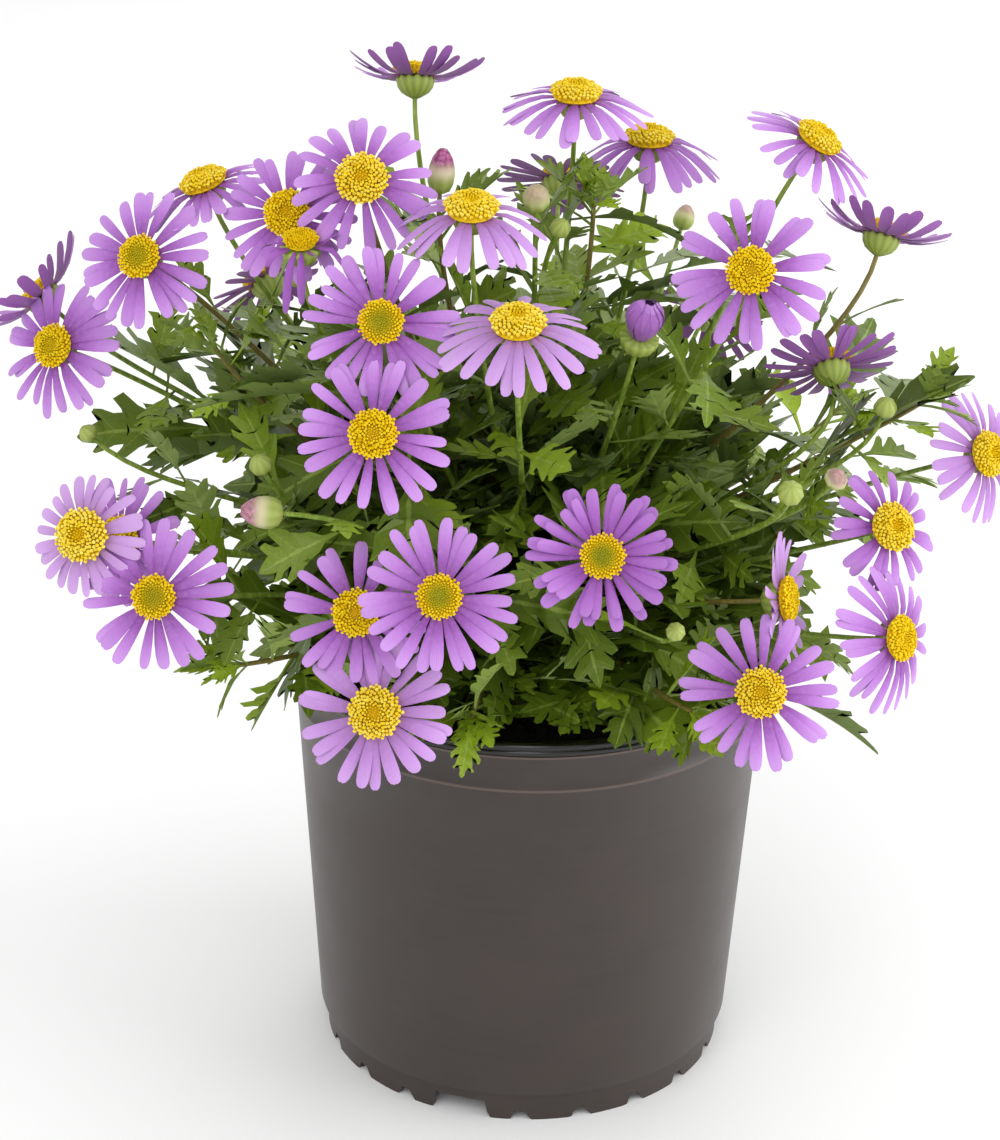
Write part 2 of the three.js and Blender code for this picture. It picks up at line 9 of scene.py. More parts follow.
import bpy
import numpy as np
from bpy.props import FloatProperty, FloatVectorProperty, IntProperty, PointerProperty
from mathutils import Matrix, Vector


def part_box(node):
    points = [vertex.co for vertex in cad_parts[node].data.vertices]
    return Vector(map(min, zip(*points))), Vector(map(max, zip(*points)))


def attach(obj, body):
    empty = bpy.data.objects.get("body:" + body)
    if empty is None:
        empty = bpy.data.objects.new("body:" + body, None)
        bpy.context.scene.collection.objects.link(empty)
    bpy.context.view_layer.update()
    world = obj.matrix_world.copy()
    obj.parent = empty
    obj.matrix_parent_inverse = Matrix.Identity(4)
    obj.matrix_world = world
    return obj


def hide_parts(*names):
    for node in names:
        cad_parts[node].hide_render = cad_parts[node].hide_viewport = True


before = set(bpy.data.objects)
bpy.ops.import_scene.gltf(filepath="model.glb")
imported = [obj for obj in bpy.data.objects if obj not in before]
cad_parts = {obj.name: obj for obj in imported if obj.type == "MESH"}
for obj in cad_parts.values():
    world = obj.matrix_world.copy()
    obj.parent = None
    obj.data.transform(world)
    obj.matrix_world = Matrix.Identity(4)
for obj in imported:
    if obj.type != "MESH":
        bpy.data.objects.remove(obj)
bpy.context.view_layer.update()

bl_info = {
    "name": "Potted swan river daisy",
    "version": (1, 0, 0),
    "blender": (4, 5, 0),
    "location": "3D View > Sidebar > Daisy",
    "description": "Builds the looks of a potted swan river daisy round its packed model",
    "category": "Add Mesh",
}

MM = 0.001
TAU = 2 * math.pi
GOLDEN_TURN = math.pi * (3 - math.sqrt(5))

POT_LOW, POT_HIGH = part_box("pot")
POT_AXIS = np.array([(POT_LOW.x + POT_HIGH.x) / 2, (POT_LOW.y + POT_HIGH.y) / 2, 0.0]) / MM

# Blooms: number, node of their rays, middle x y z, azimuth and tilt of the face, radius, and lift of the
# ray tips.
BLOOMS = [
    (1, "rays_1_3", -120, -25, 206, -122, 63, 18, -3),
    (3, "rays_1_3", -126.5, -6.2, 213, 165, 48, 18, 6),
    (2, "rays_2_4", -96, -38, 234, -112, 60, 18, -2),
    (4, "rays_2_4", -82, -22.4, 247.7, -164, 21, 18, -4),
    (5, "rays_5_7_6_8", -60, -42, 247, -105, 58, 17.5, -2),
    (7, "rays_5_7_6_8", -56, -56, 244, -90, 15, 10.5, -5),
    (6, "rays_5_7_6_8", -42, -50, 258, -88, 54, 18, -5),
    (8, "rays_5_7_6_8", -16, -57, 253, -90, 13, 18, -6),
    (9, "rays_9_10_11", -36, -76, 232, -90, 60, 18.5, -1),
    (10, "rays_9_10_11", -4.5, -82, 233.7, -90, 17, 19.5, -6),
    (11, "rays_9_10_11", -37, -89, 209.6, -92, 63, 19, -1),
    (12, "rays_12", -32, 5, 269, 90, 25, 17.5, 5),
    (13, "rays_13", 8, -22, 271.5, -85, 6, 19, -5),
    (14, "rays_14", 27, 4, 253.5, -80, 3, 19, -7),
    (15, "rays_15", 68, -5, 257, -19, 31, 18.5, -4),
    (16, "rays_16", 49, -66, 243, -97, 60, 19, -3),
    (17, "rays_17", 86, -6, 234, 60, 28, 18, 5),
    (18, "rays_18", 74, -18, 203, 100, 50, 18, 2),
    (19, "rays_19", 116, -8, 176, -42, 65, 18, -4),
    (20, "rays_20_21", 88, -46, 171, -55, 60, 16, -3),
    (21, "rays_20_21", 90, -61, 148, -39, 72, 19, -5),
    (22, "rays_22_23", 61, -66, 160, -18, 78, 17, 2),
    (23, "rays_22_23", 55, -87, 145, -88, 62, 19.5, -2),
    (24, "rays_24", 16, -102, 186, -90, 62, 18, 2),
    (25, "rays_25", -21, -104, 176, -90, 65, 19, -1),
    (26, "rays_26_27", -36, -98, 143, -95, 65, 19, -2),
    (27, "rays_26_27", -41, -88, 164, -95, 65, 18, 0),
    (28, "rays_28_29", -89, -84, 165, -100, 65, 19, -1),
    (29, "rays_28_29", -106.5, -76, 177, -108, 65, 15, -3),
    (30, "rays_30", -102.8, -44.8, 162.6, -115, 60, 17, -1),
    (32, "rays_32", -75, 54, 198, 130, 52, 18, -1),
    (33, "rays_33", 5, 62, 226, 88, 45, 18, -1),
    (35, "rays_35", 48, 82, 182, 65, 60, 18, -2),
]
WITHERED = 7
DOUBLE = 24
HALF_OPEN = {"at": (24.5, -52, 222), "azimuth": -60, "tilt": 20}
# How much more violet than the others the rays of a bloom are, or paler where it is below 0.
DEEPER = {
    24: 0.6, 12: 0.9, 17: 0.5, 7: 0.9, 14: 0.3, 4: 0.15, 27: 0.1, 3: 0.5, 18: 0.2, 20: 0.3, 33: 0.6, 5: 0.12,
    29: -0.45, 26: -0.25, 10: -0.35, 8: -0.25, 19: -0.2, 22: -0.3,
}
# How green the middle of a young disc is, and how far an old one is domed and its florets pale.
YOUNG = {9: 0.8, 24: 1.0, 25: 0.9, 28: 0.7, 1: 0.3, 2: 0.6, 33: 0.6, 35: 0.4}
OLD = {
    26: 0.8, 10: 1.0, 29: 1.0, 6: 0.7, 8: 0.9, 23: 0.5, 15: 0.6,
    13: 0.7, 14: 0.8, 32: 0.6, 4: 0.6, 20: 0.6, 19: 0.5,
}

# Buds: x y z, azimuth and tilt of the axis, half width, length, and how far their tips show violet.
BUDS = [
    (-24, -30, 255, 0, 4, 3.4, 11, 1.0),
    (-1, -40, 252, -90, 30, 3.3, 7, 0.35),
    (5, -38, 244, -60, 40, 2.5, 5, 0.0),
    (-64, -78, 185, 185, 85, 3.8, 10, 0.8),
    (-66, -60, 190, -120, 30, 2.8, 5, 0.0),
    (34, -92, 163, -90, 50, 2.3, 4, 0.0),
    (72, -66, 192, -60, 40, 2.9, 4, 0.6),
    (60, -80, 194, -90, 40, 3.1, 5, 0.0),
    (87, -30, 197, -60, 20, 2.9, 5, 0.0),
    (-112, -32, 186, 200, 40, 2.4, 4, 0.0),
    (40, 70, 214, 60, 30, 3, 7, 0.5),
    (-70, 80, 190, 130, 40, 3, 6, 0.0),
]

# Leafy shoots with no flower: x y z of the tip, azimuth and tilt of its axis.
SHOOTS = [
    (13, -25, 246, -90, 10),
    (98, -22, 196, -20, 50),
    (-72, -60, 136, -140, 80),
    (-80, -28, 208, 190, 30),
    (-14, -74, 130, -95, 85),
    (40, -76, 134, -60, 80),
    (84, 46, 168, 30, 50),
    (-84, 48, 160, 150, 50),
    (-10, 82, 150, 100, 70),
]

# Sectors of the plant by azimuth in degrees: node, name of the finer pieces, seed and number of core leaves.
SECTORS = [
    {"node": "leafy_stems_front", "name": "front", "from": 206, "to": 334, "seed": 39, "leaves": 16},
    {"node": "leafy_stems_right", "name": "right", "from": 334, "to": 450, "seed": 34, "leaves": 11},
    {"node": "leafy_stems_left", "name": "left", "from": 90, "to": 206, "seed": 25, "leaves": 11},
]
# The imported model's dense core: its heights and its radii there.
CORE_HEIGHTS = [113, 126, 144, 163, 178]
CORE_RADII = [30, 45, 48, 38, 20]
CORE_ROOT = 27
CROWN_CIRCLE = 19
SOIL_TOP = 104
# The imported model's rays and cups: where a ray leaves its disc, its thickness, and how far a stem ends below.
RAY_FOOT = 7.2
RAY_THICK = 0.7
STACK_GAP = 0.3
CALYX_BACK = 4.65
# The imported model's leaves: tries for each, and how far it stays from other leaves and from stems.
LEAF_TRIES = 40
LEAF_APART = 5.2
STEM_APART = 3
# Where a packed leaf's tip would hang over the pot's wall or stand out alone, and the share of its length
# that it keeps there.
HANGING_BELOW, HANGING_OUT = 126, 60
ALONE_ABOVE, ALONE_OUT = 215, 110
FAR_SHARE = 0.5
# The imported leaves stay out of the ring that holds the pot's rim, below this level.
RIM_ZONE = (50, 70)
RIM_CLEAR = 121
# A finer leaf isn't let below this level outside this radius.
LIP_LEVEL = 116
WALL_INSIDE = 56

# Camera, in millimetres and degrees: seen slightly from above, with a hint of roll.
CAMERA_AT = (0, -717, 456)
CAMERA_YAW = -0.68
CAMERA_PITCH = 24.0
CAMERA_ROLL = 1.05
FOCAL_PIXELS = 2944
IMAGE_HEIGHT = 1140
SENSOR = 36
# The lights face this place, in metres, and the two side lights have these shares of the side power.
LIGHT_TARGET = (0, 0, 0.15)
LEFT_SHARE = 1 / 6
RIGHT_SHARE = 2.2


def unit(vectors):
    """Each vector divided by its length."""
    return vectors / np.maximum(np.linalg.norm(vectors, axis=-1, keepdims=True), 1e-9)


def axis_frame(azimuth, tilt):
    """Unit axes n, tilted from the vertical towards the azimuth, u, level and square to it, and v = n x u."""
    a = np.radians(np.asarray(azimuth, float))
    t = np.radians(np.asarray(tilt, float))
    n = np.stack([np.sin(t) * np.cos(a), np.sin(t) * np.sin(a), np.cos(t)], -1)
    u = np.stack([-np.sin(a), np.cos(a), np.zeros_like(a)], -1)
    return n, u, np.cross(n, u)


def smooth(low, high, value):
    """0 below low, 1 above high, and 3s^2 - 2s^3 between."""
    s = np.clip((value - low) / (high - low), 0, 1)
    return s * s * (3 - 2 * s)


# Meshes
def shell_faces(rows, around):
    """Faces of a closed shell: quads between rings next to each other, and a fan from a pole at each end."""
    ring = np.arange(around)
    after = (ring + 1) % around
    step = np.arange(rows - 1)[:, None] * around
    quads = np.stack([step + ring, step + after, step + around + after, step + around + ring], -1)
    last = (rows - 1) * around
    start_pole = np.full(around, rows * around)
    start_fan = np.stack([after, ring, start_pole], -1)
    end_fan = np.stack([last + ring, last + after, start_pole + 1], -1)
    return quads.reshape(-1, 4), np.concatenate([start_fan, end_fan])


def loop_faces(rows, around):
    """Quads of a shell that closes on itself both along its profile and round its axis."""
    ring = np.arange(around)
    after = (ring + 1) % around
    step = np.arange(rows)[:, None] * around
    above = (np.arange(rows)[:, None] + 1) % rows * around
    return np.stack([step + ring, step + after, above + after, above + ring], -1).reshape(-1, 4)


class Shells:
    """Gathers closed shells for one piece: their points, their faces, and a value of each name per point."""

    def __init__(self, *names):
        self.names = names
        self.points, self.quads, self.fans = [], [], []
        self.values = {name: [] for name in names}
        self.count = 0

    def add(self, points, quads, fans=None, **values):
        """Adds copies of one shell: points is (copies, points, 3), and the faces count within one copy."""
        points = np.asarray(points, float)
        copies, each = points.shape[:2]
        offsets = self.count + each * np.arange(copies)[:, None, None]
        self.points.append(points.reshape(-1, 3))
        self.quads.append((quads + offsets).reshape(-1, 4))
        if fans is not None:
            self.fans.append((fans + offsets).reshape(-1, 3))
        for name in self.names:
            value = np.broadcast_to(np.asarray(values.get(name, 0.0), float), (copies, each))
            self.values[name].append(value.ravel())
        self.count += copies * each

    def build(self, name, material, crease=80):
        """One object at the origin in the frame's metres, smooth but for edges over the crease angle."""
        points = (np.concatenate(self.points) + POT_AXIS) * MM
        quads = np.concatenate(self.quads)
        fans = np.concatenate(self.fans) if self.fans else np.zeros((0, 3), int)
        corners = np.concatenate([quads.ravel(), fans.ravel()]).astype(np.int32)
        starts = np.concatenate([4 * np.arange(len(quads)), 4 * len(quads) + 3 * np.arange(len(fans))])
        mesh = bpy.data.meshes.new(name)
        mesh.vertices.add(len(points))
        mesh.vertices.foreach_set("co", points.astype(np.float32).ravel())
        mesh.loops.add(len(corners))
        mesh.loops.foreach_set("vertex_index", corners)
        mesh.polygons.add(len(starts))
        mesh.polygons.foreach_set("loop_start", starts.astype(np.int32))
        mesh.update(calc_edges=True)
        mesh.validate()
        mesh.polygons.foreach_set("use_smooth", np.ones(len(mesh.polygons), bool))
        mesh.set_sharp_from_angle(angle=math.radians(crease))
        for key in self.names:
            layer = mesh.attributes.new(key, "FLOAT", "POINT")
            layer.data.foreach_set("value", np.concatenate(self.values[key]).astype(np.float32))
        mesh.materials.append(material)
        piece = bpy.data.objects.new(name, mesh)
        bpy.context.scene.collection.objects.link(piece)
        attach(piece, "root")
        return piece


def turned(centre, n, u, v, radii, heights, sides, poles=None):
    """Rings round an axis: centre + n height + (u cos a + v sin a) radius, with a pole point at both ends.

    radii and heights are (copies, rows) or (copies, rows, sides); poles gives the heights of the two poles.
    """
    angle = TAU * np.arange(sides) / sides
    radii = np.broadcast_to(radii[..., None] if radii.ndim == 2 else radii, (*radii.shape[:2], sides))
    heights = np.broadcast_to(heights[..., None] if heights.ndim == 2 else heights, radii.shape)
    round_axis = u[:, None, None] * np.cos(angle)[:, None] + v[:, None, None] * np.sin(angle)[:, None]
    rings = centre[:, None, None] + n[:, None, None] * heights[..., None] + round_axis * radii[..., None]
    if poles is None:
        poles = np.stack([heights[:, 0].mean(-1), heights[:, -1].mean(-1)], -1)
    ends = centre[:, None] + n[:, None] * poles[..., None]
    return np.concatenate([rings.reshape(len(centre), -1, 3), ends], 1)


def row_values(values, sides):
    """A value per ring repeated for each of its points, with the two poles' values at the end."""
    values = np.atleast_2d(values)
    return np.concatenate([np.repeat(values, sides, -1), values[:, :1], values[:, -1:]], -1)


def swept(paths, radii, sides, end_axes=None):
    """A round tube along each path: a circle of points round it, square to it, at the radius given there."""
    along = unit(np.gradient(paths, axis=1))
    if end_axes is not None:
        along[:, -1] = end_axes
    side = unit(np.stack([along[..., 2], np.zeros(along.shape[:2]), -along[..., 0]], -1))
    other = np.cross(along, side)
    angle = TAU * (np.arange(sides) + 0.5) / sides
    ring = side[:, :, None] * np.cos(angle)[:, None] + other[:, :, None] * np.sin(angle)[:, None]
    rings = paths[:, :, None] + ring * np.broadcast_to(radii, paths.shape[:2])[..., None, None]
    return np.concatenate([rings.reshape(len(paths), -1, 3), paths[:, [0, -1]]], 1)


def bezier(a, b, c, d, steps):
    """Points of the cubic curve (1-t)^3 a + 3(1-t)^2 t b + 3(1-t) t^2 c + t^3 d at even steps of t."""
    t = np.linspace(0, 1, steps + 1)[:, None]
    a, b, c, d = (np.asarray(p, float)[..., None, :] for p in (a, b, c, d))
    return (1 - t) ** 3 * a + 3 * (1 - t) ** 2 * t * b + 3 * (1 - t) * t**2 * c + t**3 * d


# Materials
class Finish:
    """One material's nodes, added with short calls and linked to its Principled shader."""

    def __init__(self, name):
        self.material = bpy.data.materials.new(name)
        self.material.use_nodes = True
        self.tree = self.material.node_tree
        self.shader = self.tree.nodes["Principled BSDF"]

    def put(self, socket, value):
        """Links the socket to another one, or sets its number or colour."""
        if isinstance(value, bpy.types.NodeSocket):
            self.tree.links.new(value, socket)
        else:
            socket.default_value = value

    def node(self, kind, inputs=(), **settings):
        """A new node with its settings and inputs."""
        made = self.tree.nodes.new(kind)
        for key, value in settings.items():
            setattr(made, key, value)
        for key, value in dict(inputs).items():
            self.put(made.inputs[key], value)
        return made

    def value(self, name):
        """The mesh's own value of that name."""
        return self.node("ShaderNodeAttribute", attribute_name=name).outputs["Fac"]

    def place(self):
        """Object coordinates, in metres."""
        return self.node("ShaderNodeTexCoord").outputs["Object"]

    def noise(self, scale, detail=2.0, rough=0.5, where=None):
        """Noise of about scale patches to the metre."""
        inputs = {"Vector": where or self.place(), "Scale": scale, "Detail": detail, "Roughness": rough}
        return self.node("ShaderNodeTexNoise", inputs).outputs["Fac"]

    def sum(self, operation, a, b=0.0, c=0.0):
        """A Math node's result."""
        return self.node("ShaderNodeMath", {0: a, 1: b, 2: c}, operation=operation).outputs[0]

    def span(self, value, low, high, to_low=0.0, to_high=1.0):
        """to_low where the value is below low, to_high above high, and a smooth change between."""
        inputs = {"Value": value, "From Min": low, "From Max": high, "To Min": to_low, "To Max": to_high}
        return self.node("ShaderNodeMapRange", inputs, interpolation_type="SMOOTHSTEP").outputs["Result"]

    def mix(self, share, a, b):
        """Colour a, changed to colour b by the share."""
        made = self.node("ShaderNodeMix", {0: share}, data_type="RGBA")
        for socket, colour in ((made.inputs[6], a), (made.inputs[7], b)):
            self.put(socket, colour)
        return made.outputs[2]

    def bump(self, height, strength, distance):
        """Normals of a fine relief of that height."""
        inputs = {"Height": height, "Strength": strength, "Distance": distance}
        return self.node("ShaderNodeBump", inputs).outputs["Normal"]

    def shade(self, **inputs):
        """Sets the shader's inputs, whose names have _ for a space, and gives the material."""
        for key, value in inputs.items():
            self.put(self.shader.inputs[key.replace("_", " ")], value)
        return self.material


def opaque(colour, level=1.0):
    """The colour times the level, with no transparency."""
    return (*(level * c for c in colour), 1.0)


# Settings that a user would change
def length_setting(name, description, default, **limits):
    """A size in metres."""
    return FloatProperty(name=name, description=description, default=default, unit="LENGTH", **limits)


def colour_setting(name, description, default):
    """A colour in linear light."""
    return FloatVectorProperty(
        name=name, description=description, default=default, subtype="COLOR", min=0, max=1
    )


class PotSettings(bpy.types.PropertyGroup):
    """Sizes and finish of the nursery pot."""

    rim_radius: length_setting("Rim radius", "Radius outside the lip", (POT_HIGH.y - POT_LOW.y) / 2)
    height: length_setting("Height", "From the feet to the top of the lip", POT_HIGH.z)
    wall: length_setting("Wall", "Thickness of the wall", 0.0016)
    bead_height: length_setting("Bead height", "Height of the thin bead round the wall", 0.104)
    colour: colour_setting("Colour", "Colour of the wall", (0.0325, 0.0228, 0.0196))
    lip_colour: colour_setting("Lip colour", "Colour of the lip", (0.006, 0.0055, 0.005))


class SoilSettings(bpy.types.PropertyGroup):
    """The potting soil."""

    colour: colour_setting("Colour", "Colour of damp soil", (0.016, 0.010, 0.006))
    crumbs: IntProperty(
        name="Crumbs", description="Number of loose crumbs on top", default=420, min=0, max=2000
    )
    crumb_size: length_setting("Crumb size", "Mean radius of a crumb", 0.0014, min=0.0003)


class BloomSettings(bpy.types.PropertyGroup):
    """Rays and discs."""

    rays: IntProperty(name="Rays", description="Fewest rays in a bloom", default=19, min=8, max=34)
    ray_width: length_setting("Ray width", "Width of a ray where it is widest", 0.0031)
    ray_thickness: length_setting("Ray thickness", "Thickness of a ray at its foot", 0.0005)
    florets: IntProperty(
        name="Florets", description="Number of florets in a disc", default=200, min=20, max=300
    )
    lilac: colour_setting("Lilac", "Upper side of a ray", (0.420, 0.160, 0.560))
    lilac_tip: colour_setting("Lilac tip", "Tip of a ray", (0.550, 0.285, 0.700))
    violet: colour_setting("Violet", "Foot of a ray", (0.225, 0.048, 0.320))
    back: colour_setting("Back", "Underside of a ray", (0.270, 0.090, 0.340))
    disc: colour_setting("Disc", "Open florets", (0.800, 0.570, 0.004))
    disc_middle: colour_setting("Disc middle", "Closed young florets", (0.330, 0.370, 0.015))


class FoliageSettings(bpy.types.PropertyGroup):
    """Stems, cups, buds and leaves."""

    stem_low: length_setting("Stem foot", "Radius of a stem at the crown", 0.0013)
    stem_high: length_setting("Stem top", "Radius of a stem below its bloom", 0.0006)
    leaf_spacing: length_setting("Leaf spacing", "Length of stem from one leaf to the next", 0.0068)
    filling: IntProperty(
        name="Filling", description="Leaves inside each sector of the bush", default=110, min=0, max=400
    )
    rim_filling: IntProperty(
        name="Rim filling", description="Short leaves at the rim in each sector", default=130, min=0, max=200
    )
    dark: colour_setting("Dark leaf", "Old leaves", (0.042, 0.070, 0.006))
    green: colour_setting("Leaf", "Grown leaves", (0.130, 0.215, 0.012))
    young: colour_setting("Young leaf", "Leaves of a shoot", (0.330, 0.470, 0.020))
    stalk: colour_setting("Stalk", "Upper stems", (0.270, 0.350, 0.060))


class StageSettings(bpy.types.PropertyGroup):
    """Floor and light."""

    floor: colour_setting("Floor", "Colour of the floor", (0.86, 0.86, 0.86))
    key_power: FloatProperty(name="Key", description="Power of the front light", default=7.0, unit="POWER")
    side_power: FloatProperty(
        name="Sides", description="Power of the back light; the sides go by it", default=4.0, unit="POWER"
    )
    sky: FloatProperty(name="Sky", description="Strength of the light all round", default=0.92, min=0, max=4)


# Pot and soil
SKIRT_RADIUS = 55
SKIRT_HEIGHT = 8.8
BASE_RADIUS = 57
LIP_DEPTH = 3.4
LIP_OVERHANG = 1.4
FLOOR_LOW = 8.2
FLOOR_TOP = 10.4
NOTCHES = 21
WIDE_EVERY = 7
FIRST_NOTCH = -107
WIDE_NOTCH = (15.0, 5.2)
SMALL_NOTCH = (4.2, 2.6)
NOTCH_SLOPE = 0.5
POT_COLUMNS = 378
DRAIN_RADIUS = 4
DRAIN_CIRCLE = 38
DRAIN_SIDES = 24
QUARTER_TURN = np.array([[0, 1, 0], [-1, 0, 0], [0, 0, 1]])


def notch_heights(azimuth):
    """Height of the skirt's lower edge at each azimuth: 0 on a foot, a notch's height across its width."""
    height = np.zeros_like(azimuth)
    for i in range(NOTCHES):
        width, rise = WIDE_NOTCH if i % WIDE_EVERY == 0 else SMALL_NOTCH
        off = (azimuth - math.radians(FIRST_NOTCH) - TAU * i / NOTCHES + math.pi) % TAU - math.pi
        across = np.abs(off) * SKIRT_RADIUS
        inside = 1 - smooth(width / 2 - NOTCH_SLOPE, width / 2 + NOTCH_SLOPE, across)
        height = np.maximum(height, rise * inside)
    return height


def wall_radius(z, rim, height):
    """Outer radius of the straight wall: it grows evenly from the base ledge to the lip."""
    share = (z - SKIRT_HEIGHT) / (height - LIP_DEPTH - SKIRT_HEIGHT)
    return BASE_RADIUS + (rim - LIP_OVERHANG - BASE_RADIUS) * share


def pot_profile(rim, height, wall, bead):
    """Radius and height round the wall's section, from the outer foot up over the lip and down inside."""

    def outer(z, proud=0.0):
        return (wall_radius(z, rim, height) + proud, z)

    def inner(z):
        return (wall_radius(z, rim, height) - wall, z)

    lip = height - LIP_DEPTH
    skirt = [(SKIRT_RADIUS, 0), (SKIRT_RADIUS, 6.2), (SKIRT_RADIUS, 8.1)]
    ledge = [(55.3, 8.6), (56.4, 8.8), (56.9, 9.0)]
    side = [outer(9.5), outer(30), outer(55), outer(80), outer(bead - 0.9)]
    ring = [outer(bead - 0.35, 0.4), outer(bead + 0.35, 0.4), outer(bead + 0.9), outer(lip - 1.5)]
    ring += [outer(lip - 1.1, 0.35), outer(lip - 0.6, 0.35), outer(lip - 0.3)]
    roll = [
        outer(lip, 0.25), (rim - 0.45, lip + 0.05), (rim - 0.08, lip + 0.35), (rim, lip + 0.8),
        (rim - 0.12, lip + 1.25), (rim - 0.42, lip + 1.5), (rim - 0.42, lip + 1.75), (rim - 0.15, lip + 2.1),
        (rim - 0.15, lip + 2.6), (rim - 0.45, height - 0.3), (rim - 1.0, height), (rim - 1.9, height),
        (rim - 2.6, height - 0.25),
    ]
    inside = [inner(lip - 0.8), inner(90), inner(50), inner(FLOOR_TOP + 0.2)]
    inside_foot = [(53.6, FLOOR_TOP - 0.6), (53.4, 8), (53.4, 0)]
    return np.array(skirt + ledge + side + ring + roll + inside + inside_foot)


def pot_wall(settings):
    """The profile turned round the axis; its two lowest rings follow the notched edge of the skirt."""
    sizes = (settings.rim_radius, settings.height, settings.wall, settings.bead_height)
    profile = pot_profile(*(size / MM for size in sizes))
    azimuth = TAU * np.arange(POT_COLUMNS) / POT_COLUMNS
    z = np.repeat(profile[:, 1:], POT_COLUMNS, 1)
    foot = profile[:, 1] == 0
    z[foot] = notch_heights(azimuth)
    radius = profile[:, :1]
    points = np.stack([radius * np.cos(azimuth), radius * np.sin(azimuth), z], -1)
    return points.reshape(1, -1, 3), loop_faces(len(profile), POT_COLUMNS)


def pot_floor():
    """A round plate with four holes: straight lines from each hole's circle to the edge of its quarter.

    The section runs along the under side, up the edge, back on the upper side and down inside the hole.
    """
    edge = SKIRT_RADIUS - 0.7
    angle = TAU * (np.arange(DRAIN_SIDES) + 0.5) / DRAIN_SIDES
    ray = np.stack([np.cos(angle), np.sin(angle)], -1)
    hole = np.array([DRAIN_CIRCLE, 0]) + DRAIN_RADIUS * ray
    # How far each ray from the hole's middle runs to the round edge and to the quarter's two straight sides.
    along = ray[:, 0] * DRAIN_CIRCLE
    reach = -along + np.sqrt(along**2 + edge**2 - DRAIN_CIRCLE**2)
    for sign in (1, -1):
        closing = ray[:, 0] - sign * ray[:, 1]
        to_side = np.where(closing < -1e-6, DRAIN_CIRCLE / np.minimum(-closing, -1e-6) * -1, np.inf)
        reach = np.minimum(reach, np.abs(to_side))
    edge_points = np.array([DRAIN_CIRCLE, 0]) + ray * reach[:, None]
    section = []
    for z, shares in ((FLOOR_LOW, (0, 0.5, 1)), (FLOOR_TOP, (1, 0.5, 0))):
        for share in shares:
            flat = hole + (edge_points - hole) * share
            section.append(np.concatenate([flat, np.full((DRAIN_SIDES, 1), z)], -1))
    quarters = [np.stack(section).reshape(-1, 3)]
    for _ in range(3):
        quarters.append(quarters[-1] @ QUARTER_TURN)
    return np.stack(quarters), loop_faces(6, DRAIN_SIDES)


def soil_height(x, y):
    """Height of the soil's top: two crossed waves round its level."""
    return SOIL_TOP + 1.1 * (np.sin(x / 7) * np.cos(y / 9) + 0.5 * np.sin((x + 2 * y) / 11))


def plastic_finish(settings):
    """Satin black-brown plastic: mottled a little, with fine level flow lines, a darker glossy lip, and a
    painted highlight along the bead and along the small bead under the lip.
    """
    f = Finish("nursery_pot_plastic")
    place = f.place()
    height = f.node("ShaderNodeSeparateXYZ", {0: place}).outputs["Z"]
    lip = f.span(height, settings.height - 0.0041, settings.height - 0.0036)
    cloud = f.noise(35.0, 4.0, 0.6, place)
    level_place = f.node("ShaderNodeMapping", {0: place, "Scale": (0.25, 0.25, 6.0)}).outputs[0]
    flow = f.noise(90.0, 3.0, 0.5, level_place)
    wall = f.mix(f.span(cloud, 0.3, 0.75), opaque(settings.colour, 0.86), opaque(settings.colour, 1.12))
    wall = f.mix(f.span(flow, 0.35, 0.8, 0.0, 0.3), wall, opaque(settings.colour, 1.3))
    # Painted highlight: a lighter line of the wall's colour along the bead and along the small bead just under
    # the lip.
    for level in (settings.bead_height, settings.height - LIP_DEPTH * MM - 0.00085):
        off = f.sum("ABSOLUTE", f.sum("SUBTRACT", height, level))
        wall = f.mix(f.span(off, 0.0002, 0.00055, 0.75, 0.0), wall, opaque(settings.colour, 3.4))
    grain = f.noise(2600.0, 2.0, 0.6, place)
    rough = f.sum("ADD", f.span(cloud, 0.2, 0.8, 0.34, 0.44), f.span(lip, 0, 1, 0.0, -0.24))
    relief = f.sum("MULTIPLY_ADD", flow, 0.6, f.sum("MULTIPLY", grain, 0.25))
    return f.shade(
        Base_Color=f.mix(lip, wall, opaque(settings.lip_colour)),
        Roughness=rough,
        Specular_IOR_Level=0.5,
        Normal=f.bump(relief, 0.12, 0.0004),
    )


def soil_finish(settings):
    """Damp dark soil: two sizes of mottling in colour and relief."""
    f = Finish("damp_soil")
    coarse = f.noise(260.0, 5.0, 0.65)
    fine = f.noise(1500.0, 3.0, 0.6)
    low = opaque(settings.colour, 0.5)
    high = opaque(settings.colour, 2.4)
    base = f.mix(f.span(coarse, 0.3, 0.7), low, opaque(settings.colour))
    return f.shade(
        Base_Color=f.mix(f.span(fine, 0.55, 0.75, 0.0, 0.6), base, high),
        Roughness=f.span(coarse, 0.3, 0.7, 0.75, 0.95),
        Normal=f.bump(f.sum("ADD", coarse, f.sum("MULTIPLY", fine, 0.4)), 0.6, 0.0012),
    )


class DAISY_OT_pot(bpy.types.Operator):
    """Build the nursery pot: notched skirt, bead, rolled lip and a floor with drain holes"""

    bl_idname = "daisy.pot"
    bl_label = "Nursery pot"

    def execute(self, context):
        settings = context.scene.daisy_pot
        shells = Shells()
        shells.add(*pot_wall(settings))
        shells.add(*pot_floor())
        piece = shells.build("nursery_pot", plastic_finish(settings), crease=50)
        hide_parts("pot")
        return {"FINISHED"}


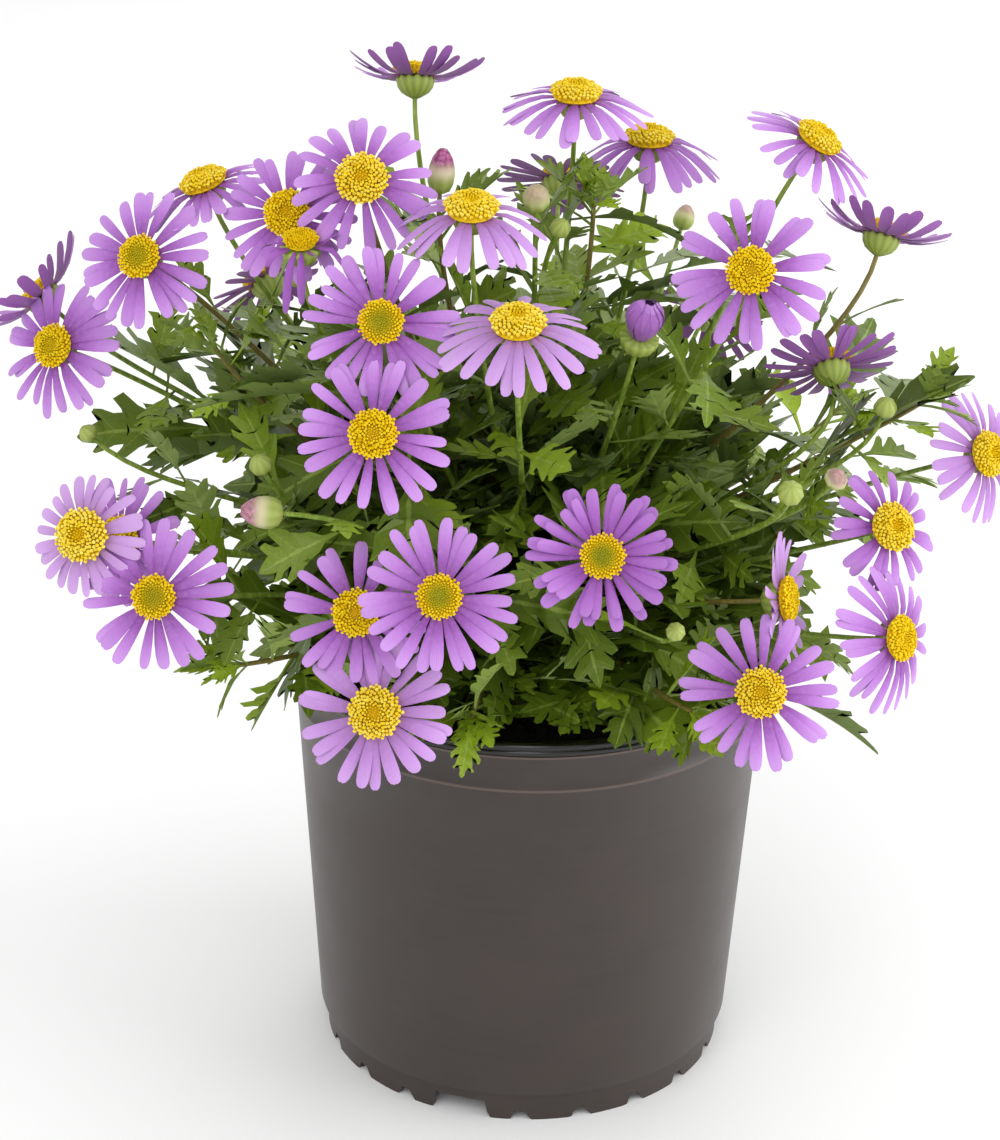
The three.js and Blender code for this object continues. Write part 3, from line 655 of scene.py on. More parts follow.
class DAISY_OT_soil(bpy.types.Operator):
    """Build the lumpy soil and its loose crumbs"""

    bl_idname = "daisy.soil"
    bl_label = "Potting soil"

    TOP_RADII = (60, 57, 52, 46, 39, 31, 22, 12)

    def execute(self, context):
        settings = context.scene.daisy_soil
        pot = context.scene.daisy_pot
        rim, height, wall = pot.rim_radius / MM, pot.height / MM, pot.wall / MM
        rng = np.random.default_rng(11)
        gap = 0.5
        low = FLOOR_TOP + gap
        edges = [wall_radius(z, rim, height) - wall - gap for z in (low, 50, 80, SOIL_TOP - 1)]
        radii = np.array([*edges, *self.TOP_RADII])
        sides = 72
        angle = TAU * np.arange(sides) / sides
        x, y = radii[:, None] * np.cos(angle), radii[:, None] * np.sin(angle)
        heights = np.broadcast_to(np.array([low, 50, 80, SOIL_TOP - 1])[:, None], (4, sides))
        top = soil_height(x[4:], y[4:]) + rng.normal(0, 0.35, x[4:].shape)
        centre, n, u, v = (np.array([p], float) for p in ((0, 0, 0), (0, 0, 1), (1, 0, 0), (0, 1, 0)))
        shells = Shells()
        all_radii = np.repeat(radii[None, :, None], sides, 2)
        points = turned(centre, n, u, v, all_radii, np.concatenate([heights, top])[None], sides)
        shells.add(points, *shell_faces(len(radii), sides))
        shells.add(*self.crumbs(settings, rng))
        piece = shells.build("potting_soil_top", soil_finish(settings), crease=60)
        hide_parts("potting_soil")
        return {"FINISHED"}

    @staticmethod
    def crumbs(settings, rng):
        """Small squashed balls of uneven rings, strewn evenly over the soil's circle."""
        count = settings.crumbs
        out = 59 * np.sqrt(rng.random(count))
        turn = TAU * rng.random(count)
        x, y = out * np.cos(turn), out * np.sin(turn)
        size = settings.crumb_size / MM * rng.uniform(0.5, 1.5, count)
        centre = np.stack([x, y, soil_height(x, y) + 0.2 * size], -1)
        n, u, v = axis_frame(rng.uniform(0, 360, count), rng.uniform(0, 180, count))
        uneven = rng.uniform(0.75, 1.2, (count, 3, 6))
        radii = size[:, None, None] * np.array([0.62, 1.0, 0.68])[:, None] * uneven
        heights = size[:, None] * np.array([-0.6, 0.0, 0.55])
        poles = size[:, None] * np.array([-0.85, 0.8])
        return turned(centre, n, u, v, radii, heights, 6, poles), *shell_faces(3, 6)


# Rays
RAY_ROWS = np.array([0, 0.12, 0.32, 0.55, 0.76, 0.9, 0.97, 1.0])
RAY_WIDTHS = np.array([0.36, 0.48, 0.72, 0.92, 1.0, 0.92, 0.68, 0.28])
RAY_ACROSS = np.array([1, 0.5, 0, -0.5, -1, -0.5, 0, 0.5])
RAY_FACE = np.array([0, 1, 1, 1, 0, -1, -1, -1])
KEEL = 0.14
NOTCH_DEPTHS = [0.0, 0.0, 0.02, 0.045]
FOOT_OF_RAY = 3.6
HALF_OPEN_OUT = [1.8, 2.9, 3.8, 4.2, 3.9, 2.9, 1.9, 1.3]
HALF_OPEN_UP = [-0.3, 1.2, 3.2, 5.4, 7.6, 9.2, 10.1, 10.6]
RAY_VALUES = ("reach", "across", "under", "tone", "deep")


def ray_points(centre, axes, angle, out, up, half, thick, arch, keel, roll, bend, notch):
    """Straps that stand round a bloom's axis, one closed shell each.

    A strap's middle line runs out[row] from the axis and up[row] along it, and bends sideways by bend t^2.
    Across it, half[row] wide each way, the face arches down by arch s^2 and has two raised keels at s = 1/2.
    The tip's middle draws back by the notch, and the strap rolls about its own line by roll t.
    """
    n, u, v = axes
    t = RAY_ROWS
    s = RAY_ACROSS
    outward = u * np.cos(angle)[:, None] + v * np.sin(angle)[:, None]
    sideways = -u * np.sin(angle)[:, None] + v * np.cos(angle)[:, None]
    length = (out[:, -1] - out[:, 0])[:, None, None]
    draw_back = notch[:, None, None] * t[:, None] ** 8 * np.exp(-((s / 0.35) ** 2)) * length
    across = s * half[..., None]
    body = thick * (1 - 0.75 * t)[:, None] * RAY_FACE / 2
    keels = keel * (np.abs(s) == 0.5) * np.sin(math.pi * np.minimum(1, 0.15 + t))[:, None]
    rise = keels - arch[:, None, None] * s**2 * half[..., None]
    turn = (roll[:, None] * t)[..., None]
    level = across * np.cos(turn) - rise * np.sin(turn) + (bend[:, None] * t**2)[..., None] * length
    height = across * np.sin(turn) + rise * np.cos(turn) + body
    slope = np.gradient(up, axis=1) / np.maximum(np.abs(np.gradient(out, axis=1)), 0.3)
    lean = (slope / np.sqrt(1 + slope**2))[..., None]
    stand = np.sqrt(1 - lean**2)
    far = out[..., None] - draw_back * stand - height * lean
    tall = up[..., None] - draw_back * lean + height * stand
    rings = (
        centre
        + outward[:, None, None] * far[..., None]
        + sideways[:, None, None] * level[..., None]
        + n * tall[..., None]
    )
    ends = rings[:, [0, -1]].mean(2)
    count = len(angle)
    return np.concatenate([rings.reshape(count, -1, 3), ends], 1)


def ray_values(count, tone, deep):
    """The values that the rays' colours read: place along and across, which side, and each ray's own tone."""
    around = len(RAY_ACROSS)
    reach = row_values(RAY_ROWS, around)
    ends = np.zeros(2)
    across = np.concatenate([np.tile(RAY_ACROSS, len(RAY_ROWS)), ends])
    under = np.concatenate([np.tile((1 - RAY_FACE) / 2, len(RAY_ROWS)), ends + 0.5])
    deep = np.full((count, 1), deep)
    return {"reach": reach, "across": across, "under": under, "tone": tone[:, None], "deep": deep}


def bloom_rays(shells, bloom, settings, layer=0):
    """Adds one round of rays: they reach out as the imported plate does, each with its own droop and bend."""
    number, _, x, y, z, azimuth, tilt, radius, lift = bloom
    rng = np.random.default_rng(100 * number + layer)
    withered = number == WITHERED
    count = settings.rays + number * 7 % 4 + (2 if radius > 18.4 else 0)
    if layer:
        radius, lift = radius - 2.6, lift + 1.6
    if withered:
        count = 13
    turn = number * 0.7 + layer * math.pi / count
    angle = turn + TAU * (np.arange(count) + rng.uniform(-0.42, 0.42, count)) / count
    reach = radius * (1 - 0.07 * rng.random(count) - 0.07 * (rng.random(count) < 0.2))
    out = FOOT_OF_RAY + (reach[:, None] - FOOT_OF_RAY) * RAY_ROWS
    share = np.maximum(0, (out - RAY_FOOT) / (radius - RAY_FOOT))
    droop = rng.normal(0, 0.75, count) + (rng.normal(0, 3.0, count) if withered else 0)
    stack = 0.22 * (np.arange(count) % 2) + layer * 0.6
    up = lift * share**1.5 + stack[:, None] * (1 - 0.3 * RAY_ROWS) + droop[:, None] * RAY_ROWS**2 - 0.2
    width = settings.ray_width / MM / 2 * (radius / 18) ** 0.7 * rng.uniform(0.82, 1.14, count)
    half = width[:, None] * RAY_WIDTHS
    # A wider-set round of fewer rays keeps its feet apart, and feet never pass into each other.
    half = np.minimum(half, out * math.tan(math.pi / count) * 1.25)
    roll = rng.normal(0, 0.14, count) + (rng.normal(0, 0.8, count) if withered else 0)
    arch = rng.uniform(0.02, 0.2, count)
    bend = rng.normal(0, 0.022, count)
    notch = rng.choice(NOTCH_DEPTHS, count)
    points = ray_points(
        np.array([x, y, z], float), axis_frame(azimuth, tilt), angle, out, up,
        half, settings.ray_thickness / MM, arch, KEEL, roll, bend, notch,
    )
    values = ray_values(count, rng.random(count), DEEPER.get(number, 0.0))
    shells.add(points, *shell_faces(len(RAY_ROWS), len(RAY_ACROSS)), **values)


def half_open_rays(shells, settings):
    """Rays that still stand together in a cone: their middle lines swell out and close in again."""
    count = 13
    rng = np.random.default_rng(31)
    angle = TAU * (np.arange(count) + rng.uniform(-0.15, 0.15, count)) / count
    out = np.tile(HALF_OPEN_OUT, (count, 1)) + rng.uniform(-0.4, 0.4, (count, 1)) * RAY_ROWS
    up = np.tile(HALF_OPEN_UP, (count, 1)) - rng.uniform(0, 1.0, (count, 1)) * RAY_ROWS
    half = np.tile(1.5 * RAY_WIDTHS, (count, 1))
    zero = np.zeros(count)
    points = ray_points(
        np.array(HALF_OPEN["at"], float), axis_frame(HALF_OPEN["azimuth"], HALF_OPEN["tilt"]), angle, out, up,
        half, settings.ray_thickness / MM, zero + 0.1, 0.12, zero, zero, zero + 0.03,
    )
    values = ray_values(count, rng.random(count), 0.35)
    shells.add(points, *shell_faces(len(RAY_ROWS), len(RAY_ACROSS)), **values)


FADED_LILAC = (0.66, 0.50, 0.72, 1.0)


def ray_finish(settings):
    """Lilac rays: violet at the foot, paler to the tip, fine lengthwise lines, a painted shade line down the
    middle groove, a darker violet underside.
    """
    f = Finish("lilac_ray")
    reach, across, tone = f.value("reach"), f.value("across"), f.value("tone")
    upper = f.mix(f.span(reach, 0.18, 0.68), opaque(settings.violet), opaque(settings.lilac))
    upper = f.mix(f.span(reach, 0.5, 1.0), upper, opaque(settings.lilac_tip))
    wave = f.sum("COSINE", f.sum("MULTIPLY", across, 22.0))
    lines = f.span(wave, 0.55, 1.0, 0.0, 0.26)
    # Painted shade: a darker line down each ray's middle groove, between its two raised keels.
    groove = f.span(f.sum("ABSOLUTE", across), 0.0, 0.14, 0.22, 0.0)
    upper = f.mix(f.sum("MAXIMUM", lines, groove), upper, opaque(settings.lilac, 0.62))
    upper = f.mix(f.span(tone, 0.0, 1.0, 0.0, 0.35), upper, opaque(settings.lilac, 0.78))
    upper = f.mix(f.span(f.noise(900.0, 3.0), 0.45, 0.8, 0.0, 0.2), upper, opaque(settings.lilac_tip))
    deep = f.value("deep")
    upper = f.mix(f.sum("MULTIPLY", deep, 0.75), upper, opaque(settings.violet, 1.15))
    upper = f.mix(f.sum("MULTIPLY", deep, -0.7), upper, FADED_LILAC)
    lower = f.mix(f.span(reach, 0.1, 1.0, 0.0, 0.55), opaque(settings.back), opaque(settings.lilac))
    lower = f.mix(f.sum("MULTIPLY", lines, 1.5), lower, opaque(settings.back, 0.5))
    side = f.span(f.value("under"), 0.49, 0.51)
    relief = f.sum("ADD", f.sum("MULTIPLY", lines, -1.0), f.sum("MULTIPLY", f.noise(2600.0, 2.0), 0.12))
    return f.shade(
        Base_Color=f.mix(side, upper, lower),
        Roughness=0.5,
        Specular_IOR_Level=0.35,
        Sheen_Weight=0.08,
        Normal=f.bump(relief, 0.35, 0.0003),
    )


class DAISY_OT_rays(bpy.types.Operator):
    """Build the rays of every bloom, one piece for each group of blooms that touch"""

    bl_idname = "daisy.rays"
    bl_label = "Rays"

    def execute(self, context):
        settings = context.scene.daisy_bloom
        finish = ray_finish(settings)
        for node in dict.fromkeys(bloom[1] for bloom in BLOOMS):
            shells = Shells(*RAY_VALUES)
            for bloom in BLOOMS:
                if bloom[1] != node:
                    continue
                bloom_rays(shells, bloom, settings)
                if bloom[0] == DOUBLE:
                    bloom_rays(shells, bloom, settings, layer=1)
            self.finish_piece(shells, node, finish)
        shells = Shells(*RAY_VALUES)
        half_open_rays(shells, settings)
        self.finish_piece(shells, "rays_half_open", finish)
        return {"FINISHED"}

    @staticmethod
    def finish_piece(shells, node, finish):
        piece = shells.build(node.replace("rays", "lilac_rays"), finish, crease=70)
        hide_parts(node)


# Discs
DISC_RADIUS = 5.7
FLORET_SIDES = 5
BRIGHT_FLORET = (0.90, 0.71, 0.01, 1.0)
PALE_FLORET = (0.90, 0.79, 0.18, 1.0)
DISC_VALUES = ("middle", "pale", "tip", "tone")


def disc_florets(shells, centre, axes, radius, number, settings):
    """A low dome covered with florets in a sunflower spiral.

    Floret k stands at radius R sqrt((k + 1/2) / count) and angle k times the golden turn.
    Outer ones are open cups; towards the middle of a young disc they are low closed buds.
    """
    n, u, v = (axis[None] for axis in axes)
    young, old = YOUNG.get(number, 0.0), OLD.get(number, 0.0)
    rng = np.random.default_rng(500 + number)
    crown = 1.5 + 1.0 * old
    radius = radius * (0.94 - 0.1 * young + 0.12 * old)
    base_rows = np.array([0.86, 0.97, 0.93, 0.78, 0.5, 0.2])
    base_heights = np.array([-0.25, 0.0, 0.25, 0.55, 0.85, 1.0]) * crown
    base = turned(centre[None], n, u, v, radius * base_rows[None], base_heights[None], 18)
    spread = row_values(1 - base_rows[None], 18)
    shells.add(base, *shell_faces(len(base_rows), 18), middle=spread * young, pale=0.0, tip=0.0, tone=0.0)

    count = settings.florets
    k = np.arange(count)
    share = np.sqrt((k + 0.5) / count)
    spin = k * GOLDEN_TURN
    flat = radius * 0.94 * share
    height = crown * (1 - share**2.4) + 0.12 * crown
    round_axis = u * np.cos(spin)[:, None] + v * np.sin(spin)[:, None]
    foot = centre + round_axis * flat[:, None] + n * height[:, None]
    leaning = 0.75 * share**3 + rng.normal(0, 0.09, count)
    stand = unit(n + round_axis * leaning[:, None])
    side = unit(np.cross(stand, np.broadcast_to(v, stand.shape)))
    other = np.cross(stand, side)
    size = 0.365 * (radius / DISC_RADIUS) * (0.85 + 0.35 * share) * rng.uniform(0.85, 1.12, count)
    openness = smooth(0.2 + 0.45 * young, 0.5 + 0.45 * young, share)
    tall = (0.6 + 0.75 * openness * (1 + 0.3 * old)) * rng.uniform(0.8, 1.2, count)
    radii = size[:, None] * np.stack([0.75 + 0 * share, 0.8 + 0 * share, 0.5 + 0.55 * openness], -1)
    heights = np.stack([-0.9 + 0 * share, 0.55 * tall, tall], -1)
    poles = np.stack([-1.0 + 0 * share, tall + 0.25 * (1 - openness) - 0.5 * openness], -1)
    points = turned(foot, stand, side, other, radii, heights, FLORET_SIDES, poles)
    middle = young * smooth(0.9, 0.25, share)
    shells.add(
        points,
        *shell_faces(3, FLORET_SIDES),
        middle=middle[:, None],
        pale=(old * smooth(0.15, 0.75, share) * rng.random(count))[:, None],
        tip=row_values(np.array([0, 0.5, 1.0]), FLORET_SIDES),
        tone=rng.random(count)[:, None],
    )


def disc_finish(settings):
    """Yellow florets: a darker, more orange gold at their feet and on the dome between them as painted shade,
    greener in a young middle, pale tips on an old disc.
    """
    f = Finish("yellow_floret")
    tip = f.value("tip")
    # Painted shade: the florets' feet and the dome showing between them take this darker gold.
    deep = opaque([c * share for c, share in zip(settings.disc, (0.88, 0.80, 0.60))])
    colour = f.mix(f.span(tip, 0.05, 0.8), deep, opaque(settings.disc))
    colour = f.mix(f.span(f.value("tone"), 0.0, 1.0, 0.0, 0.35), colour, BRIGHT_FLORET)
    colour = f.mix(f.sum("MULTIPLY", f.value("middle"), 0.9), colour, opaque(settings.disc_middle))
    paling = f.sum("MULTIPLY", f.value("pale"), f.span(tip, 0.4, 1.0, 0.0, 0.75))
    return f.shade(
        Base_Color=f.mix(paling, colour, PALE_FLORET),
        Roughness=0.6,
        Specular_IOR_Level=0.2,
        Normal=f.bump(f.noise(3000.0, 2.0), 0.25, 0.0002),
    )


class DAISY_OT_discs(bpy.types.Operator):
    """Build the disc of florets in every bloom"""

    bl_idname = "daisy.discs"
    bl_label = "Discs"

    def execute(self, context):
        settings = context.scene.daisy_bloom
        finish = disc_finish(settings)
        for number, _, x, y, z, azimuth, tilt, radius, _ in BLOOMS:
            axes = axis_frame(azimuth, tilt)
            withered = number == WITHERED
            gap = RAY_THICK / 2 + STACK_GAP + (0.6 if number == DOUBLE else 0)
            centre = np.array([x, y, z], float) + axes[0] * gap
            shells = Shells(*DISC_VALUES)
            disc_florets(shells, centre, axes, 4.0 if withered else DISC_RADIUS, number, settings)
            piece = shells.build(f"florets_{number}", finish, crease=60)
            if not withered:
                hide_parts(f"disc_{number}")
        return {"FINISHED"}


# Stems
def draws(seed):
    """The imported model's own stream of numbers from 0 to 1."""
    state = seed
    while True:
        state = (state * 1664525 + 1013904223) % 4294967296
        yield state / 4294967296


def in_sector(sector, p, margin):
    """True for points between the sector's two upright planes, by the margin."""
    start, end = math.radians(sector["from"]), math.radians(sector["to"])
    past = -math.sin(start) * p[..., 0] + math.cos(start) * p[..., 1]
    before = math.sin(end) * p[..., 0] - math.cos(end) * p[..., 1]
    return (past > margin) & (before > margin)


def tip_list():
    """Every tip that a stem ends in: place, axis, how far behind it the stem ends, leaves, segments, kind."""
    tips = []
    for number, _, x, y, z, azimuth, tilt, *_ in BLOOMS:
        tips.append(((x, y, z), azimuth, tilt, CALYX_BACK, number % 2, 3, "bloom"))
    tips.append((HALF_OPEN["at"], HALF_OPEN["azimuth"], HALF_OPEN["tilt"], CALYX_BACK, 1, 3, "bloom"))
    for x, y, z, azimuth, tilt, half, length, blush in BUDS:
        tips.append(((x, y, z), azimuth, tilt, length * 0.5, 0, 2, (half, length, blush)))
    for x, y, z, azimuth, tilt in SHOOTS:
        tips.append(((x, y, z), azimuth, tilt, 0.0, 2, 3, "shoot"))
    return tips


def sector_stems(sector):
    """The stems of a sector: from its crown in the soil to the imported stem's foot, then along that stem."""
    stems = []
    middle = math.radians((sector["from"] + sector["to"]) / 2)
    limit = math.radians(sector["to"] - sector["from"]) / 2 - 0.3
    crown = CROWN_CIRCLE * np.array([math.cos(middle), math.sin(middle), 0])
    rng = np.random.default_rng(sector["seed"])
    for at, azimuth, tilt, back, leaves, segments, kind in tip_list():
        axis = axis_frame(azimuth, tilt)[0]
        end = np.array(at, float) - axis * back
        if not in_sector(sector, end, 0):
            continue
        out = min(CORE_ROOT, 0.36 * math.hypot(end[0], end[1]))
        off = math.atan2(end[1], end[0]) - middle
        off = math.atan2(math.sin(off), math.cos(off))
        angle = middle + min(max(off, -limit), limit)
        start = np.array([out * math.cos(angle), out * math.sin(angle), 126 + (end[2] - 126) * 0.24])
        heading = unit(end - np.array([0, 0, 90]))
        span = np.linalg.norm(end - start)
        lead = heading + (end - start) / span
        first = start + lead * span * 0.18
        second = end - axis * min(24, span * 0.45)
        root = crown + np.array([*rng.uniform(-4.5, 4.5, 2), SOIL_TOP - 3])
        rise = bezier(root, root + [0, 0, 12], start - unit(lead) * 9, start, 6)
        stems.append({
            "axis": axis,
            "end": end,
            "kind": kind,
            "leaves": leaves,
            "line": bezier(start, first, second, end, segments),
            "path": np.concatenate([rise[:-1], bezier(start, first, second, end, 14)]),
        })
    return stems


# Leaves
def lobe(root, reach, tip, width, sinus, sinus_width):
    """Edge and rib stations of one finger-like lobe: its outer edge, its round tip, and the bay after it."""
    rise = tip - width
    return [
        (root + 0.34 * (reach - root), width + 0.46 * rise, root + 0.01, 0),
        (root + 0.74 * (reach - root), width + 0.85 * rise, root + 0.022, 0),
        (reach, tip, root + 0.045, 1),
        (reach + 0.014, 0.84 * tip, root + 0.05, 0.5),
        (sinus + 0.35 * (reach - sinus), sinus_width + 0.3 * (tip - sinus_width), sinus - 0.03, 0),
        (sinus, sinus_width, sinus - 0.015, 0),
    ]


# A leaf's outline: distance along and half width of each edge point, the rib point across from it, and
# whether a vein runs to it.
LEAF_ROWS = np.array(
    [(0, 0.015, 0, 0), (0.18, 0.018, 0.18, 0), (0.32, 0.042, 0.32, 0)]
    + lobe(0.33, 0.58, 0.205, 0.046, 0.52, 0.088)
    + lobe(0.54, 0.78, 0.235, 0.092, 0.70, 0.1)
    + lobe(0.715, 0.9, 0.17, 0.1, 0.85, 0.078)
    + [(0.9, 0.066, 0.88, 0), (0.965, 0.036, 0.955, 0), (1.0, 0.008, 1.0, 0)]
)
LEAF_RING = np.array([1, 0, -1, 0])
LEAF_VALUES = ("rib", "vein", "under", "tone", "young")
LEAF_FACES = shell_faces(len(LEAF_ROWS), 4)


def leaf_axes(azimuth, elevation, roll):
    """A leaf's own axes: along its rib, to its side and out of its face."""
    a, e, r = (np.radians(np.asarray(x, float)) for x in (azimuth, elevation, roll))
    along = np.stack([np.cos(a) * np.cos(e), np.sin(a) * np.cos(e), np.sin(e)], -1)
    flat = np.stack([-np.sin(a), np.cos(a), np.zeros_like(a)], -1)
    up = np.cross(along, flat)
    side = flat * np.cos(r)[..., None] + up * np.sin(r)[..., None]
    return along, side, np.cross(along, side)


def leaf_place(base, axes, length, sag, x, y, z, fold=0.25):
    """base + along x L + side y L + face (z - sag x^2 L + fold |y| L), with x and y as shares of length L."""
    along, side, face = axes
    lift = z - sag * x**2 * length + fold * np.abs(y) * length
    return base + along * (x * length)[..., None] + side * (y * length)[..., None] + face * lift[..., None]


def add_leaves(shells, base, axes, length, sag, rng, young=0.0, breadth=1.0):
    """Closed leaf blades: a ring of four points in each row, edge, rib above, edge, rib below.

    Each leaf has its own lobes: their width, their tips' curl and a slow twist differ from leaf to leaf.
    """
    count = len(base)
    edge_x, edge_y, rib_x, vein = LEAF_ROWS.T
    wide = breadth * rng.uniform(0.8, 1.15, (count, 1)) * (1 + rng.normal(0, 0.12, (count, len(edge_y))))
    ring_x = np.stack([edge_x, rib_x, edge_x, rib_x], -1)
    x = np.broadcast_to(ring_x, (count, *ring_x.shape))
    y = (edge_y * wide)[..., None] * LEAF_RING
    ridge = np.array([0, 0.12, 0, -0.42])
    thick = ridge * (1.15 - 0.8 * x)
    base, length, sag = base[:, None, None], length[:, None, None], sag[:, None, None]
    axes = tuple(axis[:, None, None] for axis in axes)
    curl = rng.normal(0.25, 0.55, (count, 1, 1)) * y**2 * length
    twist = rng.normal(0, 0.25, (count, 1, 1)) * x * y * length
    wave = 0.012 * length * np.sin(9 * x + TAU * rng.random((count, 1, 1))) * np.abs(LEAF_RING)
    fold = rng.uniform(0.12, 0.45, (count, 1, 1))
    bend = rng.normal(0, 0.07, (count, 1, 1)) * x**2
    rings = leaf_place(base, axes, length, sag, x, y + bend, thick - curl + twist + wave, fold)
    ends = rings[:, [0, -1]].mean(2)
    flat = np.concatenate([rings.reshape(count, -1, 3), ends], 1)
    around = len(LEAF_RING)
    shells.add(
        flat,
        *LEAF_FACES,
        rib=np.concatenate([np.tile(np.abs(LEAF_RING), len(LEAF_ROWS)), [0, 0]]),
        vein=row_values(vein, around),
        under=np.concatenate([np.tile([0.5, 0, 0.5, 1], len(LEAF_ROWS)), [0.5, 0.5]]),
        tone=rng.random(count)[:, None],
        young=np.broadcast_to(young, count)[:, None],
    )


# Places tested on a leaf, as shares of its length along and across: five on its rib and two on each side.
PROBES = np.array([
    [0.2, 0], [0.4, 0], [0.6, 0], [0.8, 0], [1, 0], [0.52, 0.3], [0.52, -0.3], [0.82, 0.22], [0.82, -0.22],
])
TIP_PROBE = 4


def probe_points(base, axes, length, sag):
    """Nine places on each blade, used to keep leaves clear of what stands near them."""
    axes = tuple(axis[..., None, :] for axis in axes)
    spread = (np.asarray(length)[..., None], np.asarray(sag)[..., None])
    return leaf_place(np.asarray(base)[..., None, :], axes, *spread, PROBES[:, 0], PROBES[:, 1], 0.0)


def bloom_zones():
    """The room each bloom takes: middle, axis, radius, and lowest and highest place along the axis."""
    rows = []
    for _, _, x, y, z, azimuth, tilt, radius, lift in BLOOMS:
        room = (radius + 1.5, min(0, lift) - 2.5, max(3.5, lift) + 3)
        rows.append((x, y, z, *axis_frame(azimuth, tilt)[0], *room))
    rows.append((*HALF_OPEN["at"], *axis_frame(HALF_OPEN["azimuth"], HALF_OPEN["tilt"])[0], 7.5, -2, 15))
    return np.array(rows, float)


ZONES = bloom_zones()


def clear_of_others(points):
    """True for points outside the pot, the soil and every bloom's room."""
    out = np.hypot(points[..., 0], points[..., 1])
    z = points[..., 2]
    at_rim = (out < RIM_ZONE[1]) & (out > RIM_ZONE[0]) & (z < RIM_CLEAR)
    in_soil = (out <= RIM_ZONE[0]) & (z < SOIL_TOP + 4)
    d = points[..., None, :] - ZONES[:, :3]
    height = (d * ZONES[:, 3:6]).sum(-1)
    flat = (d**2).sum(-1) - height**2
    inside = (height >= ZONES[:, 7]) & (height <= ZONES[:, 8]) & (flat <= ZONES[:, 6] ** 2)
    return ~(at_rim | in_soil | inside.any(-1))


def distance_to_line(points, line):
    """Least distance from each point to a line of straight segments."""
    a, b = line[:-1], line[1:]
    d = b - a
    t = ((points[:, None] - a) * d).sum(-1) / (d * d).sum(-1)
    near = a + d * np.clip(t, 0, 1)[..., None]
    return np.linalg.norm(points[:, None] - near, axis=-1).min(1)


def packed_leaves(sector, stems):
    """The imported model's leaves, drawn again by its own rule: base, azimuth, elevation, roll, length, sag."""
    stream = draws(sector["seed"])
    draw = stream.__next__
    kept, probes = [], []

    def grow(own, place):
        for _ in range(LEAF_TRIES):
            base = place()
            outward = math.degrees(math.atan2(base[1], base[0]))
            azimuth = outward + 190 * (draw() - 0.5)
            elevation = -5 + 55 * draw()
            roll = 90 * (draw() - 0.5)
            length = 36 + 15 * draw()
            sag = 0.1 + 0.3 * draw()
            p = probe_points(base, leaf_axes(azimuth, elevation, roll), length, sag)
            if not (in_sector(sector, p, 1.2) & clear_of_others(p)).all():
                continue
            if any(np.linalg.norm(p[:, None] - q, axis=-1).min() < LEAF_APART for q in probes):
                continue
            if any((distance_to_line(p[2 if s is own else 1:], s["line"]) < STEM_APART).any() for s in stems):
                continue
            kept.append((*base, azimuth, elevation, roll, length, sag))
            probes.append(p)
            return

    def on_line(line, low, spread):
        at = min(low + spread * draw(), 0.999) * (len(line) - 1)
        k = math.floor(at)
        return line[k] + (line[k + 1] - line[k]) * (at - k)

    def on_core():
        z = 118 + 58 * draw()
        share = 0.1 + 0.8 * draw()
        angle = math.radians(sector["from"] + (sector["to"] - sector["from"]) * share)
        out = 0.9 * np.interp(z, CORE_HEIGHTS, CORE_RADII)
        return np.array([out * math.cos(angle), out * math.sin(angle), z])

    for stem in stems:
        for k in range(stem["leaves"]):
            grow(stem, lambda: on_line(stem["line"], 0.45 + 0.5 * k / stem["leaves"], 0.4 / stem["leaves"]))
    for _ in range(sector["leaves"]):
        grow(None, on_core)
    return np.array(kept)


def below_rim(points):
    """True for each leaf that hangs down outside the pot, below its lip."""
    out = np.hypot(points[..., 0], points[..., 1])
    return ((points[..., 2] < LIP_LEVEL) & (out > WALL_INSIDE)).any(-1)


def too_far_out(points):
    """True for packed leaves that would hang over the pot's wall, or stand out alone at the top."""
    tip = points[..., TIP_PROBE, :]
    out = np.hypot(tip[..., 0], tip[..., 1])
    hanging = (tip[..., 2] < HANGING_BELOW) & (out > HANGING_OUT)
    alone = (tip[..., 2] > ALONE_ABOVE) & (out > ALONE_OUT)
    return hanging | alone


TUFT_LEAVES = 9


